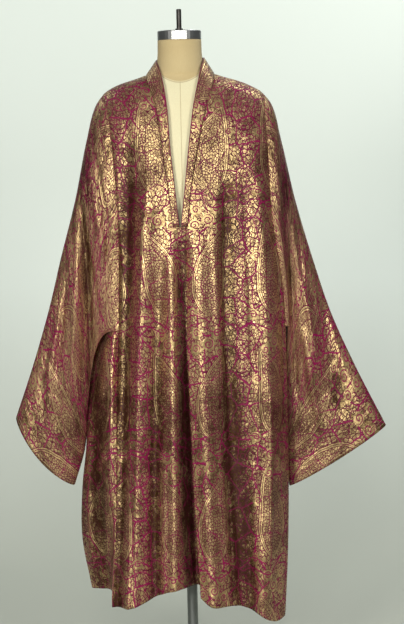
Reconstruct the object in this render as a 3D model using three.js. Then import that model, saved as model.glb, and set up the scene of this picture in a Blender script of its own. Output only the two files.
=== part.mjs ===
// Choga: an open-fronted silk brocade robe, worn on a limbless linen dress form with a steel stand.
// Millimetres, +Z up. The front faces -Y and +X is the viewer's right. The origin is the middle of
// the base's underside, on the floor. The robe's outer surface is worked out first, as heights and
// widths read from short tables. Each piece then gets its wall towards the inside.
import * as THREE from 'three';
import { mergeVertices } from 'three/addons/utils/BufferGeometryUtils.js';

// Driving sizes of the cloth
const clothWall = 2;
const seamGap = 0.3;
const neckPointZ = 1448;      // where the neckband's seam crosses the top of the shoulder
const shoulderPointZ = 1402;  // top of the armhole
const underarmZ = 845;        // foot of the armhole and top of the side gore
const openingFootZ = 1091;    // where the V opening closes
const lapStep = 2;            // drop in which the fronts step out to their lap
const lapEasing = 400;        // drop in which the columns beside the lap follow it
const hemZ = 200;             // nominal hem, from which the hem tables depart

// How finely the pieces are cut into faces
const armholeRows = 13;
const skirtRows = 11;
const frontColumns = 13;
const ridgeColumns = 5;
const napeColumns = 8;
const goreColumns = 6;
const sleeveRows = 12;
const bandColumns = 2;
const sideCrowding = 0.3;     // how far a front's columns crowd towards its side
const backCrowding = 0.1;     // share of a half turn left out when the back's columns crowd outwards
const topRowDrop = 2;         // first row below the shoulder line
const lapColumnPull = 5;      // how fast the lap's pull on a front's columns dies out sideways

// Worn section of the robe at each height: half-widths of its front and rear to the left and right,
// depths to the front and rear, and how square each is (2 is an ellipse)
const sections = [
  { z: 1448, frontLeft: 82, frontRight: 82, rearLeft: 82, rearRight: 82, front: 58, rear: 72,
    frontSquare: 1.70, rearSquare: 2.0 },
  { z: 1440, frontLeft: 104, frontRight: 104, rearLeft: 104, rearRight: 104, front: 62, rear: 78,
    frontSquare: 1.75, rearSquare: 2.0 },
  { z: 1432, frontLeft: 131, frontRight: 131, rearLeft: 131, rearRight: 131, front: 67, rear: 84,
    frontSquare: 1.80, rearSquare: 2.0 },
  { z: 1424, frontLeft: 153, frontRight: 153, rearLeft: 153, rearRight: 153, front: 72, rear: 89,
    frontSquare: 1.85, rearSquare: 2.0 },
  { z: 1414, frontLeft: 172, frontRight: 174, rearLeft: 172, rearRight: 174, front: 77, rear: 95,
    frontSquare: 1.95, rearSquare: 2.0 },
  { z: 1402, frontLeft: 187, frontRight: 194, rearLeft: 187, rearRight: 194, front: 83, rear: 101,
    frontSquare: 2.00, rearSquare: 2.1 },
  { z: 1370, frontLeft: 206, frontRight: 217, rearLeft: 206, rearRight: 217, front: 96, rear: 112,
    frontSquare: 2.10, rearSquare: 2.2 },
  { z: 1335, frontLeft: 214, frontRight: 227, rearLeft: 214, rearRight: 227, front: 105, rear: 119,
    frontSquare: 2.20, rearSquare: 2.3 },
  { z: 1290, frontLeft: 212, frontRight: 236, rearLeft: 212, rearRight: 236, front: 113, rear: 125,
    frontSquare: 2.30, rearSquare: 2.3 },
  { z: 1200, frontLeft: 202, frontRight: 236, rearLeft: 202, rearRight: 236, front: 124, rear: 130,
    frontSquare: 2.40, rearSquare: 2.4 },
  { z: 1100, frontLeft: 192, frontRight: 238, rearLeft: 192, rearRight: 238, front: 132, rear: 130,
    frontSquare: 2.40, rearSquare: 2.4 },
  { z: 1000, frontLeft: 188, frontRight: 243, rearLeft: 188, rearRight: 240, front: 136, rear: 128,
    frontSquare: 2.40, rearSquare: 2.4 },
  { z: 845, frontLeft: 190, frontRight: 246, rearLeft: 198, rearRight: 240, front: 140, rear: 124,
    frontSquare: 2.40, rearSquare: 2.4 },
  { z: 705, frontLeft: 208, frontRight: 247, rearLeft: 260, rearRight: 240, front: 142, rear: 120,
    frontSquare: 2.40, rearSquare: 2.4 },
  { z: 575, frontLeft: 240, frontRight: 247, rearLeft: 272, rearRight: 236, front: 144, rear: 118,
    frontSquare: 2.40, rearSquare: 2.4 },
  { z: 450, frontLeft: 273, frontRight: 246, rearLeft: 276, rearRight: 234, front: 147, rear: 118,
    frontSquare: 2.40, rearSquare: 2.4 },
  { z: 330, frontLeft: 320, frontRight: 242, rearLeft: 272, rearRight: 232, front: 150, rear: 118,
    frontSquare: 2.40, rearSquare: 2.4 },
  { z: 200, frontLeft: 369, frontRight: 236, rearLeft: 258, rearRight: 228, front: 153, rear: 118,
    frontSquare: 2.40, rearSquare: 2.4 },
];

// Where the fronts end at the middle (inner) and at the side (outer), and where the back ends
const leftFrontInner = [
  { z: 1448, x: -82 }, { z: 1430, x: -78 }, { z: 1400, x: -66 }, { z: 1363, x: -58 },
  { z: 1270, x: -46 }, { z: 1177, x: -34 }, { z: 1091, x: -24 },
];
const rightFrontInner = [
  { z: 1448, x: 82 }, { z: 1430, x: 80 }, { z: 1400, x: 69 }, { z: 1363, x: 59 },
  { z: 1270, x: 38 }, { z: 1177, x: 20 }, { z: 1091, x: 9 },
];
const leftLap = [{ z: 1091, x: 14 }, { z: 650, x: 16 }, { z: 200, x: 26 }];
const rightLap = [
  { z: 1091, x: 5 }, { z: 800, x: 3 }, { z: 564, x: 7 }, { z: 445, x: 10 }, { z: 200, x: 20 },
];
const leftFrontOuter = [
  { z: 1402, x: -187 }, { z: 1370, x: -175 }, { z: 1335, x: -169 }, { z: 1273, x: -163 },
  { z: 1156, x: -155 }, { z: 1038, x: -154 }, { z: 845, x: -160 }, { z: 705, x: -165 },
  { z: 450, x: -172 }, { z: 330, x: -180 }, { z: 200, x: -190 },
];
const rightFrontOuter = [
  { z: 1402, x: 194 }, { z: 1370, x: 198 }, { z: 1241, x: 204 }, { z: 1099, x: 211 },
  { z: 1004, x: 225 }, { z: 909, x: 235 }, { z: 845, x: 238 }, { z: 670, x: 240 },
  { z: 477, x: 238 }, { z: 320, x: 232 }, { z: 200, x: 223 },
];
const leftBackOuter = [
  { z: 1402, x: -187 }, { z: 1370, x: -178 }, { z: 1273, x: -166 }, { z: 1038, x: -157 },
  { z: 845, x: -170 }, { z: 705, x: -236 }, { z: 575, x: -250 }, { z: 450, x: -254 },
  { z: 330, x: -250 }, { z: 200, x: -232 },
];
const rightBackOuter = [
  { z: 1402, x: 194 }, { z: 1370, x: 198 }, { z: 1241, x: 205 }, { z: 1004, x: 222 },
  { z: 845, x: 230 }, { z: 705, x: 224 }, { z: 450, x: 214 }, { z: 200, x: 206 },
];

// Hem heights across each piece
const leftHem = [
  { x: -190, z: 194 }, { x: -142, z: 197 }, { x: -99, z: 213 }, { x: -52, z: 234 }, { x: 0, z: 240 },
  { x: 26, z: 238 },
];
const rightHem = [
  { x: 20, z: 217 }, { x: 44, z: 199 }, { x: 105, z: 192 }, { x: 155, z: 171 }, { x: 201, z: 145 },
  { x: 223, z: 152 },
];
const backHem = [{ x: -232, z: 208 }, { x: 0, z: 207 }, { x: 120, z: 190 }, { x: 206, z: 174 }];

// Folds of the body: the line each follows at its top, middle and foot, its half-widths to the
// left and right, and how far it stands out (negative for a trough) at its top and foot
const leftFrontFolds = [
  { top: 1342, xTop: -126, mid: 905, xMid: -134, foot: 200, xFoot: -172,
    leftSpread: 20, rightSpread: 20, rise: -20, footRise: -24 },
  { top: 1317, xTop: -66, mid: 844, xMid: -112, foot: 200, xFoot: -150,
    leftSpread: 22, rightSpread: 26, rise: 14, footRise: 26 },
  { top: 1060, xTop: -52, mid: 685, xMid: -74, foot: 220, xFoot: -86,
    leftSpread: 16, rightSpread: 18, rise: -10, footRise: -18 },
  { top: 1177, xTop: -30, mid: 731, xMid: -30, foot: 230, xFoot: -40,
    leftSpread: 18, rightSpread: 16, rise: 8, footRise: 16 },
  { top: 1150, xTop: 0, mid: 683, xMid: 2, foot: 240, xFoot: 12,
    leftSpread: 22, rightSpread: 90, rise: -12, footRise: -44 },
];
const rightFrontFolds = [
  { top: 1200, xTop: 30, mid: 760, xMid: 38, foot: 200, xFoot: 50,
    leftSpread: 22, rightSpread: 22, rise: 8, footRise: 22 },
  { top: 1280, xTop: 106, mid: 846, xMid: 94, foot: 200, xFoot: 113,
    leftSpread: 15, rightSpread: 30, rise: -16, footRise: -26 },
  { top: 1330, xTop: 166, mid: 914, xMid: 193, foot: 200, xFoot: 168,
    leftSpread: 22, rightSpread: 22, rise: 14, footRise: 18 },
  { top: 600, xTop: 134, mid: 394, xMid: 138, foot: 200, xFoot: 141,
    leftSpread: 13, rightSpread: 13, rise: -6, footRise: -14 },
];
const backFolds = [
  { top: 1390, xTop: -6, mid: 800, xMid: -18, foot: 200, xFoot: -10,
    leftSpread: 26, rightSpread: 30, rise: -10, footRise: -30 },
  { top: 1340, xTop: -92, mid: 780, xMid: -84, foot: 200, xFoot: -78,
    leftSpread: 26, rightSpread: 24, rise: 12, footRise: 24 },
  { top: 1330, xTop: -140, mid: 800, xMid: -136, foot: 200, xFoot: -146,
    leftSpread: 18, rightSpread: 22, rise: -12, footRise: -20 },
  { top: 1350, xTop: 74, mid: 790, xMid: 62, foot: 200, xFoot: 60,
    leftSpread: 24, rightSpread: 26, rise: 12, footRise: 26 },
  { top: 1300, xTop: 128, mid: 760, xMid: 126, foot: 200, xFoot: 122,
    leftSpread: 22, rightSpread: 22, rise: -12, footRise: -24 },
  { top: 1280, xTop: 172, mid: 760, xMid: 182, foot: 200, xFoot: 168,
    leftSpread: 20, rightSpread: 20, rise: 10, footRise: 18 },
];

// Side gores, from the front seam round to the back seam. Each row gives the fold that stands
// beside the front, the hollow, the rim seen from the front and the turn towards the back.
const leftGore = [
  { z: 845, foldX: -173, foldY: -72, hollowX: -187, hollowY: -42,
    rimX: -194, rimY: -4, rearX: -186, rearY: 38 },
  { z: 800, foldX: -177, foldY: -82, hollowX: -198, hollowY: -40,
    rimX: -218, rimY: 16, rearX: -208, rearY: 46 },
  { z: 760, foldX: -180, foldY: -90, hollowX: -203, hollowY: -46,
    rimX: -229, rimY: 22, rearX: -223, rearY: 48 },
  { z: 705, foldX: -182, foldY: -96, hollowX: -208, hollowY: -50,
    rimX: -238, rimY: 16, rearX: -234, rearY: 42 },
  { z: 640, foldX: -186, foldY: -100, hollowX: -214, hollowY: -52,
    rimX: -245, rimY: 4, rearX: -240, rearY: 34 },
  { z: 575, foldX: -190, foldY: -104, hollowX: -218, hollowY: -54,
    rimX: -245, rimY: -12, rearX: -242, rearY: 28 },
  { z: 450, foldX: -194, foldY: -108, hollowX: -227, hollowY: -60,
    rimX: -258, rimY: -24, rearX: -252, rearY: 26 },
  { z: 330, foldX: -193, foldY: -90, hollowX: -226, hollowY: -62,
    rimX: -261, rimY: -24, rearX: -253, rearY: 26 },
  { z: 200, foldX: -193, foldY: -62, hollowX: -214, hollowY: -42,
    rimX: -241, rimY: -15, rearX: -240, rearY: 28 },
];
const rightGore = [
  { z: 845, foldX: 235, foldY: -28, hollowX: 231, hollowY: -2,
    rimX: 229, rimY: 22, rearX: 229, rearY: 40 },
  { z: 790, foldX: 228, foldY: -28, hollowX: 217, hollowY: -2,
    rimX: 214, rimY: 24, rearX: 219, rearY: 44 },
  { z: 705, foldX: 226, foldY: -28, hollowX: 213, hollowY: 0,
    rimX: 209, rimY: 28, rearX: 216, rearY: 50 },
  { z: 575, foldX: 224, foldY: -28, hollowX: 206, hollowY: 4,
    rimX: 202, rimY: 32, rearX: 207, rearY: 50 },
  { z: 450, foldX: 225, foldY: -28, hollowX: 208, hollowY: 6,
    rimX: 203, rimY: 30, rearX: 206, rearY: 46 },
  { z: 330, foldX: 227, foldY: -28, hollowX: 216, hollowY: 8,
    rimX: 210, rimY: 30, rearX: 210, rearY: 45 },
  { z: 200, foldX: 225, foldY: -28, hollowX: 222, hollowY: 10,
    rimX: 216, rimY: 30, rearX: 213, rearY: 46 },
];
const goreHemLeft = { front: 228, rear: 212 };
const goreHemRight = { front: 178, rear: 178 };
const goreHemRise = 0.3;      // how quickly a gore's hem leaves the seams beside it (less is quicker)

// Sleeves, along their length (0 at the armhole, 1 at the cuff): the upper outer edge, the lower
// inner edge, half the depth from front to rear layer, and how far the middle is set back
const leftSleeveEdges = [
  { along: 0, outerX: -187, outerZ: 1402, innerX: -192, innerZ: 845, depth: 84, back: 0 },
  { along: 0.04, outerX: -204, outerZ: 1376, innerX: -202, innerZ: 845, depth: 76, back: -2 },
  { along: 0.14, outerX: -226, outerZ: 1298, innerX: -216, innerZ: 832, depth: 64, back: -10 },
  { along: 0.32, outerX: -257, outerZ: 1156, innerX: -229, innerZ: 782, depth: 52, back: -14 },
  { along: 0.50, outerX: -295, outerZ: 1018, innerX: -235, innerZ: 715, depth: 44, back: -14 },
  { along: 0.65, outerX: -326, outerZ: 900, innerX: -242, innerZ: 640, depth: 38, back: -10 },
  { along: 0.82, outerX: -368, outerZ: 766, innerX: -250, innerZ: 558, depth: 34, back: -4 },
  { along: 1, outerX: -414, outerZ: 637, innerX: -277, innerZ: 470, depth: 30, back: 0 },
];
const rightSleeveEdges = [
  { along: 0, outerX: 194, outerZ: 1402, innerX: 230, innerZ: 845, depth: 60, back: 0 },
  { along: 0.04, outerX: 215, outerZ: 1374, innerX: 237, innerZ: 843, depth: 62, back: 2 },
  { along: 0.14, outerX: 236, outerZ: 1293, innerX: 239, innerZ: 820, depth: 58, back: 10 },
  { along: 0.32, outerX: 269, outerZ: 1142, innerX: 235, innerZ: 760, depth: 50, back: 20 },
  { along: 0.50, outerX: 311, outerZ: 992, innerX: 233, innerZ: 690, depth: 43, back: 22 },
  { along: 0.65, outerX: 350, outerZ: 870, innerX: 232, innerZ: 620, depth: 38, back: 20 },
  { along: 0.82, outerX: 408, outerZ: 736, innerX: 234, innerZ: 540, depth: 34, back: 16 },
  { along: 1, outerX: 477, outerZ: 596, innerX: 241, innerZ: 453, depth: 30, back: 12 },
];
const leftCuffBow = 24;
const rightCuffBow = 6;
const cuffBowTurn = { out: 0.6, down: 0.8 };  // the bow's direction, out along the sleeve and down
const sleeveFlatness = 0.75;
const underarmSlack = 12;     // height over which the armhole loop turns under the arm
const sleeveFoldStart = 0.12; // share of the sleeve's length in which its folds fade in

// Folds of the sleeves' front layers, and of the rear layers
const leftSleeveFolds = [
  { top: 1330, xTop: -226, mid: 1070, xMid: -196, foot: 840, xFoot: -186,
    leftSpread: 20, rightSpread: 18, rise: 16, footRise: 10 },
  { top: 1110, xTop: -238, mid: 830, xMid: -236, foot: 560, xFoot: -246,
    leftSpread: 18, rightSpread: 18, rise: -14, footRise: -10 },
  { top: 1090, xTop: -268, mid: 850, xMid: -270, foot: 640, xFoot: -290,
    leftSpread: 24, rightSpread: 20, rise: 14, footRise: 8 },
];
const rightSleeveFolds = [
  { top: 1240, xTop: 242, mid: 1080, xMid: 244, foot: 900, xFoot: 250,
    leftSpread: 16, rightSpread: 16, rise: -10, footRise: -8 },
  { top: 1180, xTop: 256, mid: 947, xMid: 284, foot: 640, xFoot: 304,
    leftSpread: 22, rightSpread: 24, rise: 16, footRise: 14 },
  { top: 960, xTop: 322, mid: 790, xMid: 346, foot: 600, xFoot: 384,
    leftSpread: 24, rightSpread: 28, rise: -8, footRise: -8 },
];

// Free edge of the neckband, against the height of its seam: on the fronts it lies on the chest,
// then it rises to stand round the neck
const leftBandEdge = [
  { seam: 1448, x: -57.5, y: 4, z: 1481 }, { seam: 1440, x: -56, y: -18, z: 1476 },
  { seam: 1430, x: -51, y: -38, z: 1464 }, { seam: 1400, x: -42, y: -70, z: 1430 },
  { seam: 1363, x: -34, y: -94, z: 1380 }, { seam: 1270, x: -27.5, y: -117.5, z: 1277 },
  { seam: 1177, x: -18.5, y: -127, z: 1180 }, { seam: 1091, x: -10, y: -130, z: 1091 },
];
const rightBandEdge = [
  { seam: 1448, x: 58.5, y: 4, z: 1486 }, { seam: 1440, x: 57, y: -18, z: 1480 },
  { seam: 1430, x: 52, y: -38, z: 1467 }, { seam: 1400, x: 43, y: -70, z: 1430 },
  { seam: 1363, x: 32, y: -94, z: 1380 }, { seam: 1270, x: 17.5, y: -117.5, z: 1277 },
  { seam: 1177, x: 6, y: -127, z: 1180 }, { seam: 1091, x: -5, y: -134, z: 1091 },
];
const napeEdge = { halfWidth: 58, depth: 65, z: 1490 };

// Dress form and stand
const formRings = [
  { z: 1529, half: 52, front: 51, rear: 51, square: 2.0 },
  { z: 1500, half: 52.5, front: 52, rear: 53, square: 2.0 },
  { z: 1480, half: 54, front: 53, rear: 55, square: 2.0 },
  { z: 1464, half: 56, front: 54, rear: 57, square: 2.0 },
  { z: 1453, half: 62, front: 54, rear: 60, square: 1.95 },
  { z: 1444.9, half: 82, front: 52, rear: 62, square: 1.7 },
  { z: 1436.9, half: 104, front: 54, rear: 67, square: 1.75 },
  { z: 1428.9, half: 131, front: 57, rear: 72, square: 1.8 },
  { z: 1420.8, half: 151, front: 61, rear: 77, square: 1.85 },
  { z: 1411, half: 165, front: 66, rear: 82, square: 1.95 },
  { z: 1399, half: 172, front: 71, rear: 87, square: 2.0 },
  { z: 1375, half: 174, front: 80, rear: 92, square: 2.1 },
  { z: 1335, half: 168, front: 90, rear: 100, square: 2.1 },
  { z: 1280, half: 156, front: 101, rear: 105, square: 2.1 },
  { z: 1200, half: 148, front: 108, rear: 104, square: 2.1 },
  { z: 1120, half: 136, front: 103, rear: 94, square: 2.1 },
  { z: 1040, half: 122, front: 92, rear: 84, square: 2.1 },
  { z: 960, half: 134, front: 92, rear: 88, square: 2.1 },
  { z: 870, half: 150, front: 98, rear: 92, square: 2.1 },
  { z: 800, half: 152, front: 98, rear: 90, square: 2.1 },
];
const formSides = 30;
const formSteps = 24;
const formShoulderEnd = 1300; // rings are added between the table's from here down
const formRingSpacing = 25;   // least distance between an added ring and the table's
const cap = { radius: 52, foot: 1529.3, top: 1551, bevel: 1.5 };
const finial = { radius: 6, top: 1602, shoulderRadius: 9, shoulderHeight: 5, bevel: 1.2 };
const pole = { radius: 12.75, foot: 52.3, top: 799.7 };
const base = {
  radius: 215, rim: 8, shoulderRadius: 201, shoulder: 20, domeRadius: 64, dome: 26,
  hubRadius: 34, hubFoot: 34, hubTopRadius: 30, hubTop: 52,
};
const roundSides = 36;
const finialSides = 18;

// Reading a table: a smooth curve through one named column
function readColumn(rows, key, name, at) {
  const last = rows.length - 1;
  const sense = Math.sign(rows[last][key] - rows[0][key]);
  if ((at - rows[0][key]) * sense <= 0) return rows[0][name];
  if ((at - rows[last][key]) * sense >= 0) return rows[last][name];
  let i = 0;
  while ((at - rows[i + 1][key]) * sense > 0) i += 1;
  const slope = (a, b) => (rows[b][name] - rows[a][name]) / (rows[b][key] - rows[a][key]);
  const here = slope(i, i + 1);
  const before = i > 0 ? (slope(i - 1, i) + here) / 2 : here;
  const after = i + 1 < last ? (here + slope(i + 1, i + 2)) / 2 : here;
  const span = rows[i + 1][key] - rows[i][key];
  const t = (at - rows[i][key]) / span;
  const t2 = t * t;
  const t3 = t2 * t;
  return (2 * t3 - 3 * t2 + 1) * rows[i][name] + (t3 - 2 * t2 + t) * span * before
    + (3 * t2 - 2 * t3) * rows[i + 1][name] + (t3 - t2) * span * after;
}

const mix = (a, b, t) => a + (b - a) * t;
const clamp01 = (t) => Math.min(1, Math.max(0, t));
const smoothStep = (t) => clamp01(t) ** 2 * (3 - 2 * clamp01(t));

// How far the folds of a table stand out at a place seen from the front
function foldRise(folds, x, z) {
  const fadeIn = 0.22;
  const fadeOut = 0.2;
  let sum = 0;
  for (const fold of folds) {
    const down = (fold.top - z) / (fold.top - fold.foot);
    if (down <= 0) continue;
    const reached = clamp01(down);
    const middle = (fold.top - fold.mid) / (fold.top - fold.foot);
    const line = fold.xTop * (reached - middle) * (reached - 1) / middle
      + fold.xMid * reached * (reached - 1) / (middle * (middle - 1))
      + fold.xFoot * reached * (reached - middle) / (1 - middle);
    const spread = x < line ? fold.leftSpread : fold.rightSpread;
    const reachesHem = fold.foot <= 240;
    const ending = reachesHem ? 1 : smoothStep((1 - down) / fadeOut);
    const height = mix(fold.rise, fold.footRise, reached) * smoothStep(down / fadeIn) * ending;
    sum += height * Math.exp(-(((x - line) / spread) ** 2));
  }
  return sum;
}

// Depth of the worn section at a place, to the front or to the rear
function sectionDepth(facing, x, z) {
  const half = readColumn(sections, 'z', facing + (x < 0 ? 'Left' : 'Right'), z);
  const depth = readColumn(sections, 'z', facing, z);
  const square = readColumn(sections, 'z', `${facing}Square`, z);
  const ratio = Math.min(1, Math.abs(x) / half);
  return depth * (1 - ratio ** square) ** (1 / square);
}

// Height of the shoulder line at a distance from the middle
function shoulderLineZ(x) {
  const side = x < 0 ? 'frontLeft' : 'frontRight';
  let low = shoulderPointZ;
  let high = neckPointZ;
  for (let i = 0; i < 40; i += 1) {
    const z = (low + high) / 2;
    if (readColumn(sections, 'z', side, z) > Math.abs(x)) low = z;
    else high = z;
  }
  return (low + high) / 2;
}

const point = (x, y, z) => new THREE.Vector3(x, y, z);

// Heights of the rows at the armhole side. They are closer together at its top and foot, and one
// row lies just where the V opening closes.
function armholeLevels() {
  const depth = shoulderPointZ - underarmZ;
  const levels = [];
  for (let j = 0; j <= armholeRows; j += 1) {
    levels.push(shoulderPointZ - depth * (1 - Math.cos(Math.PI * j / armholeRows)) / 2);
  }
  levels.splice(1, 0, shoulderPointZ - topRowDrop);
  const closing = outerLevel(openingFootZ);
  const away = levels.map((z) => Math.abs(z - closing));
  const nearest = away.indexOf(Math.min(...away));
  levels[nearest] = closing;
  levels.splice(nearest + 1, 0, outerLevel(openingFootZ - lapStep));
  return levels;
}

// The rows drop from the neck point at the inner side and from the shoulder point at the outer
// side, and run level from the underarm down
function innerLevel(outer) {
  if (outer <= underarmZ) return outer;
  return mix(underarmZ, neckPointZ, (outer - underarmZ) / (shoulderPointZ - underarmZ));
}
function outerLevel(inner) {
  return mix(underarmZ, shoulderPointZ, (inner - underarmZ) / (neckPointZ - underarmZ));
}

const upperLevels = armholeLevels();
const skirtLevels = [];
for (let k = 1; k <= skirtRows; k += 1) skirtLevels.push(mix(underarmZ, hemZ, k / skirtRows));
const bodyLevels = [...upperLevels, ...skirtLevels];
const closingRow = upperLevels.findIndex((z) => Math.abs(innerLevel(z) - openingFootZ) < 1e-6);

// Below the underarm a nominal height is stretched so that the last row lies on the hem
function stretchToHem(z, hem) {
  if (z >= underarmZ) return z;
  return mix(underarmZ, hem, (underarmZ - z) / (underarmZ - hemZ));
}

// One front: rows from the shoulder line to the hem, columns from the middle to the side
function frontGrid(side) {
  const inner = side < 0 ? leftFrontInner : rightFrontInner;
  const lap = side < 0 ? leftLap : rightLap;
  const outer = side < 0 ? leftFrontOuter : rightFrontOuter;
  const folds = side < 0 ? leftFrontFolds : rightFrontFolds;
  const hem = side < 0 ? leftHem : rightHem;
  const neckX = readColumn(inner, 'z', 'x', neckPointZ);
  const shoulderX = readColumn(outer, 'z', 'x', shoulderPointZ);
  return bodyLevels.map((outerZ, row) => {
    const innerZ = innerLevel(outerZ);
    const closed = row > closingRow;
    const xInner = readColumn(closed ? lap : inner, 'z', 'x', innerZ);
    const easing = closed ? smoothStep((openingFootZ - innerZ) / lapEasing) : 0;
    const xEased = closed ? mix(inner[inner.length - 1].x, xInner, easing) : xInner;
    const xOuter = readColumn(outer, 'z', 'x', outerZ);
    const settle = row < upperLevels.length ? (1 - row / (upperLevels.length - 1)) ** 3 : 0;
    const line = [];
    for (let c = 0; c <= frontColumns; c += 1) {
      const u = c / frontColumns;
      const x = mix(xEased, xOuter, mix(u, Math.sin(u * Math.PI / 2), sideCrowding))
        + (xInner - xEased) * (1 - u) ** lapColumnPull;
      let z = mix(innerZ, outerZ, (x - xInner) / (xOuter - xInner));
      if (settle > 0) {
        const straight = mix(neckPointZ, shoulderPointZ, u);
        z += (shoulderLineZ(mix(neckX, shoulderX, u)) - straight) * settle;
      }
      if (row === 0) {
        const topX = mix(xInner, xOuter, u);
        line.push(point(topX, 0, shoulderLineZ(topX)));
        continue;
      }
      const y = -sectionDepth('front', x, z) - foldRise(folds, x, z);
      line.push(point(x, y, stretchToHem(z, readColumn(hem, 'x', 'z', x))));
    }
    return line;
  });
}

// The back: columns from the left armhole, over the left shoulder line, round the nape to the right
function backGrid() {
  const columns = 2 * ridgeColumns + napeColumns;
  const nape = sections[0].rearLeft;
  const topX = (c) => {
    if (c <= ridgeColumns) return mix(leftBackOuter[0].x, -nape, c / ridgeColumns);
    if (c >= ridgeColumns + napeColumns) {
      return mix(nape, rightBackOuter[0].x, (c - ridgeColumns - napeColumns) / ridgeColumns);
    }
    return -nape * Math.cos(Math.PI * (c - ridgeColumns) / napeColumns);
  };
  const crowded = (u) => {
    const turn = Math.PI * mix(backCrowding, 1 - backCrowding, u);
    return (1 - Math.cos(turn) / Math.cos(Math.PI * backCrowding)) / 2;
  };
  return bodyLevels.map((outerZ, row) => {
    const innerZ = innerLevel(outerZ);
    const xLeft = readColumn(leftBackOuter, 'z', 'x', outerZ);
    const xRight = readColumn(rightBackOuter, 'z', 'x', outerZ);
    const spread = smoothStep(row / (upperLevels.length * 0.6));
    const settle = row < upperLevels.length ? (1 - row / (upperLevels.length - 1)) ** 3 : 0;
    const line = [];
    for (let c = 0; c <= columns; c += 1) {
      const start = topX(c);
      const onLeft = start < 0;
      const outermost = onLeft ? leftBackOuter[0].x : rightBackOuter[0].x;
      const scaled = start * (onLeft ? xLeft : xRight) / outermost;
      const x = mix(scaled, mix(xLeft, xRight, crowded(c / columns)), spread);
      const onShoulder = Math.abs(start) >= nape - 1e-9;
      const top = onShoulder ? shoulderLineZ(start) : neckPointZ;
      if (row === 0) {
        line.push(point(start, onShoulder ? 0 : sectionDepth('rear', start, top), top));
        continue;
      }
      const toSide = x < 0 ? x / xLeft : x / xRight;
      const straight = mix(neckPointZ, shoulderPointZ, start / outermost);
      const z = mix(innerZ, outerZ, toSide) + (top - straight) * settle;
      const y = sectionDepth('rear', x, z) + foldRise(backFolds, x, z);
      line.push(point(x, y, stretchToHem(z, readColumn(backHem, 'x', 'z', x))));
    }
    return line;
  });
}

// A side gore: its first and last columns are the edges of the front and back below the underarm
function goreGrid(table, hem, front, back) {
  const frontEdge = front.slice(upperLevels.length - 1);
  const backEdge = back.slice(upperLevels.length - 1);
  return frontEdge.map((edge, row) => {
    const level = row === 0 ? underarmZ : skirtLevels[row - 1];
    const stations = [{ u: 0, x: edge.x, y: edge.y }];
    ['fold', 'hollow', 'rim', 'rear'].forEach((name, i) => stations.push({
      u: (i + 1) / 5,
      x: readColumn(table, 'z', `${name}X`, level),
      y: readColumn(table, 'z', `${name}Y`, level),
    }));
    stations.push({ u: 1, x: backEdge[row].x, y: backEdge[row].y });
    const line = [];
    for (let c = 0; c <= goreColumns; c += 1) {
      const u = c / goreColumns;
      const drop = stretchToHem(level, mix(hem.front, hem.rear, u));
      const z = mix(mix(edge.z, backEdge[row].z, u), drop, Math.sin(Math.PI * u) ** goreHemRise);
      line.push(point(readColumn(stations, 'u', 'x', u), readColumn(stations, 'u', 'y', u), z));
    }
    line[0].copy(edge);
    line[goreColumns].copy(backEdge[row]);
    return line;
  });
}

// A sleeve: its first row is the armhole loop, from the shoulder point down the front, under the
// arm along the top of the gore, and up the back
function sleeveGrid(side, frontEdge, goreTop, backEdge) {
  const edges = side < 0 ? leftSleeveEdges : rightSleeveEdges;
  const folds = side < 0 ? leftSleeveFolds : rightSleeveFolds;
  const bow = side < 0 ? leftCuffBow : rightCuffBow;
  const loop = [...frontEdge, ...goreTop.slice(1, -1), ...[...backEdge].reverse()];
  const drop = (p) => clamp01((shoulderPointZ - p.z) / (shoulderPointZ - underarmZ + underarmSlack));
  const turn = loop.map((p, i) => {
    const inGore = i - (frontEdge.length - 1);
    const lastAngle = Math.acos(1 - 2 * drop(frontEdge[frontEdge.length - 1]));
    if (inGore > 0 && inGore < goreColumns) {
      return mix(lastAngle, 2 * Math.PI - lastAngle, inGore / goreColumns);
    }
    const angle = Math.acos(1 - 2 * drop(p));
    return inGore <= 0 ? angle : 2 * Math.PI - angle;
  });
  const grid = [];
  for (let row = 0; row <= sleeveRows; row += 1) {
    const along = (row / sleeveRows) ** 1.25;
    const at = (name) => readColumn(edges, 'along', name, along);
    const hold = (1 - along) ** 3;
    const depth = at('depth');
    const line = loop.map((start, i) => {
      const s = (1 - Math.cos(turn[i])) / 2;
      const startX = mix(edges[0].outerX, edges[0].innerX, s);
      const startZ = mix(edges[0].outerZ, edges[0].innerZ, s);
      const bowed = bow * Math.sin(Math.PI * s) ** 0.7 * along ** 4;
      const x = mix(at('outerX'), at('innerX'), s) + (start.x - startX) * hold
        + side * bowed * cuffBowTurn.out;
      const z = mix(at('outerZ'), at('innerZ'), s) + (start.z - startZ) * hold
        - bowed * cuffBowTurn.down;
      const round = Math.sin(turn[i]);
      const flat = -Math.sign(round) * Math.abs(round) ** sleeveFlatness;
      const fold = foldRise(folds, x, z) * smoothStep(along / sleeveFoldStart) * flat;
      const y = mix(depth * flat + at('back') + fold, start.y, (1 - along) ** 4);
      return row === 0 ? start.clone() : point(x, y, z);
    });
    grid.push(line);
  }
  return grid;
}

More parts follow.
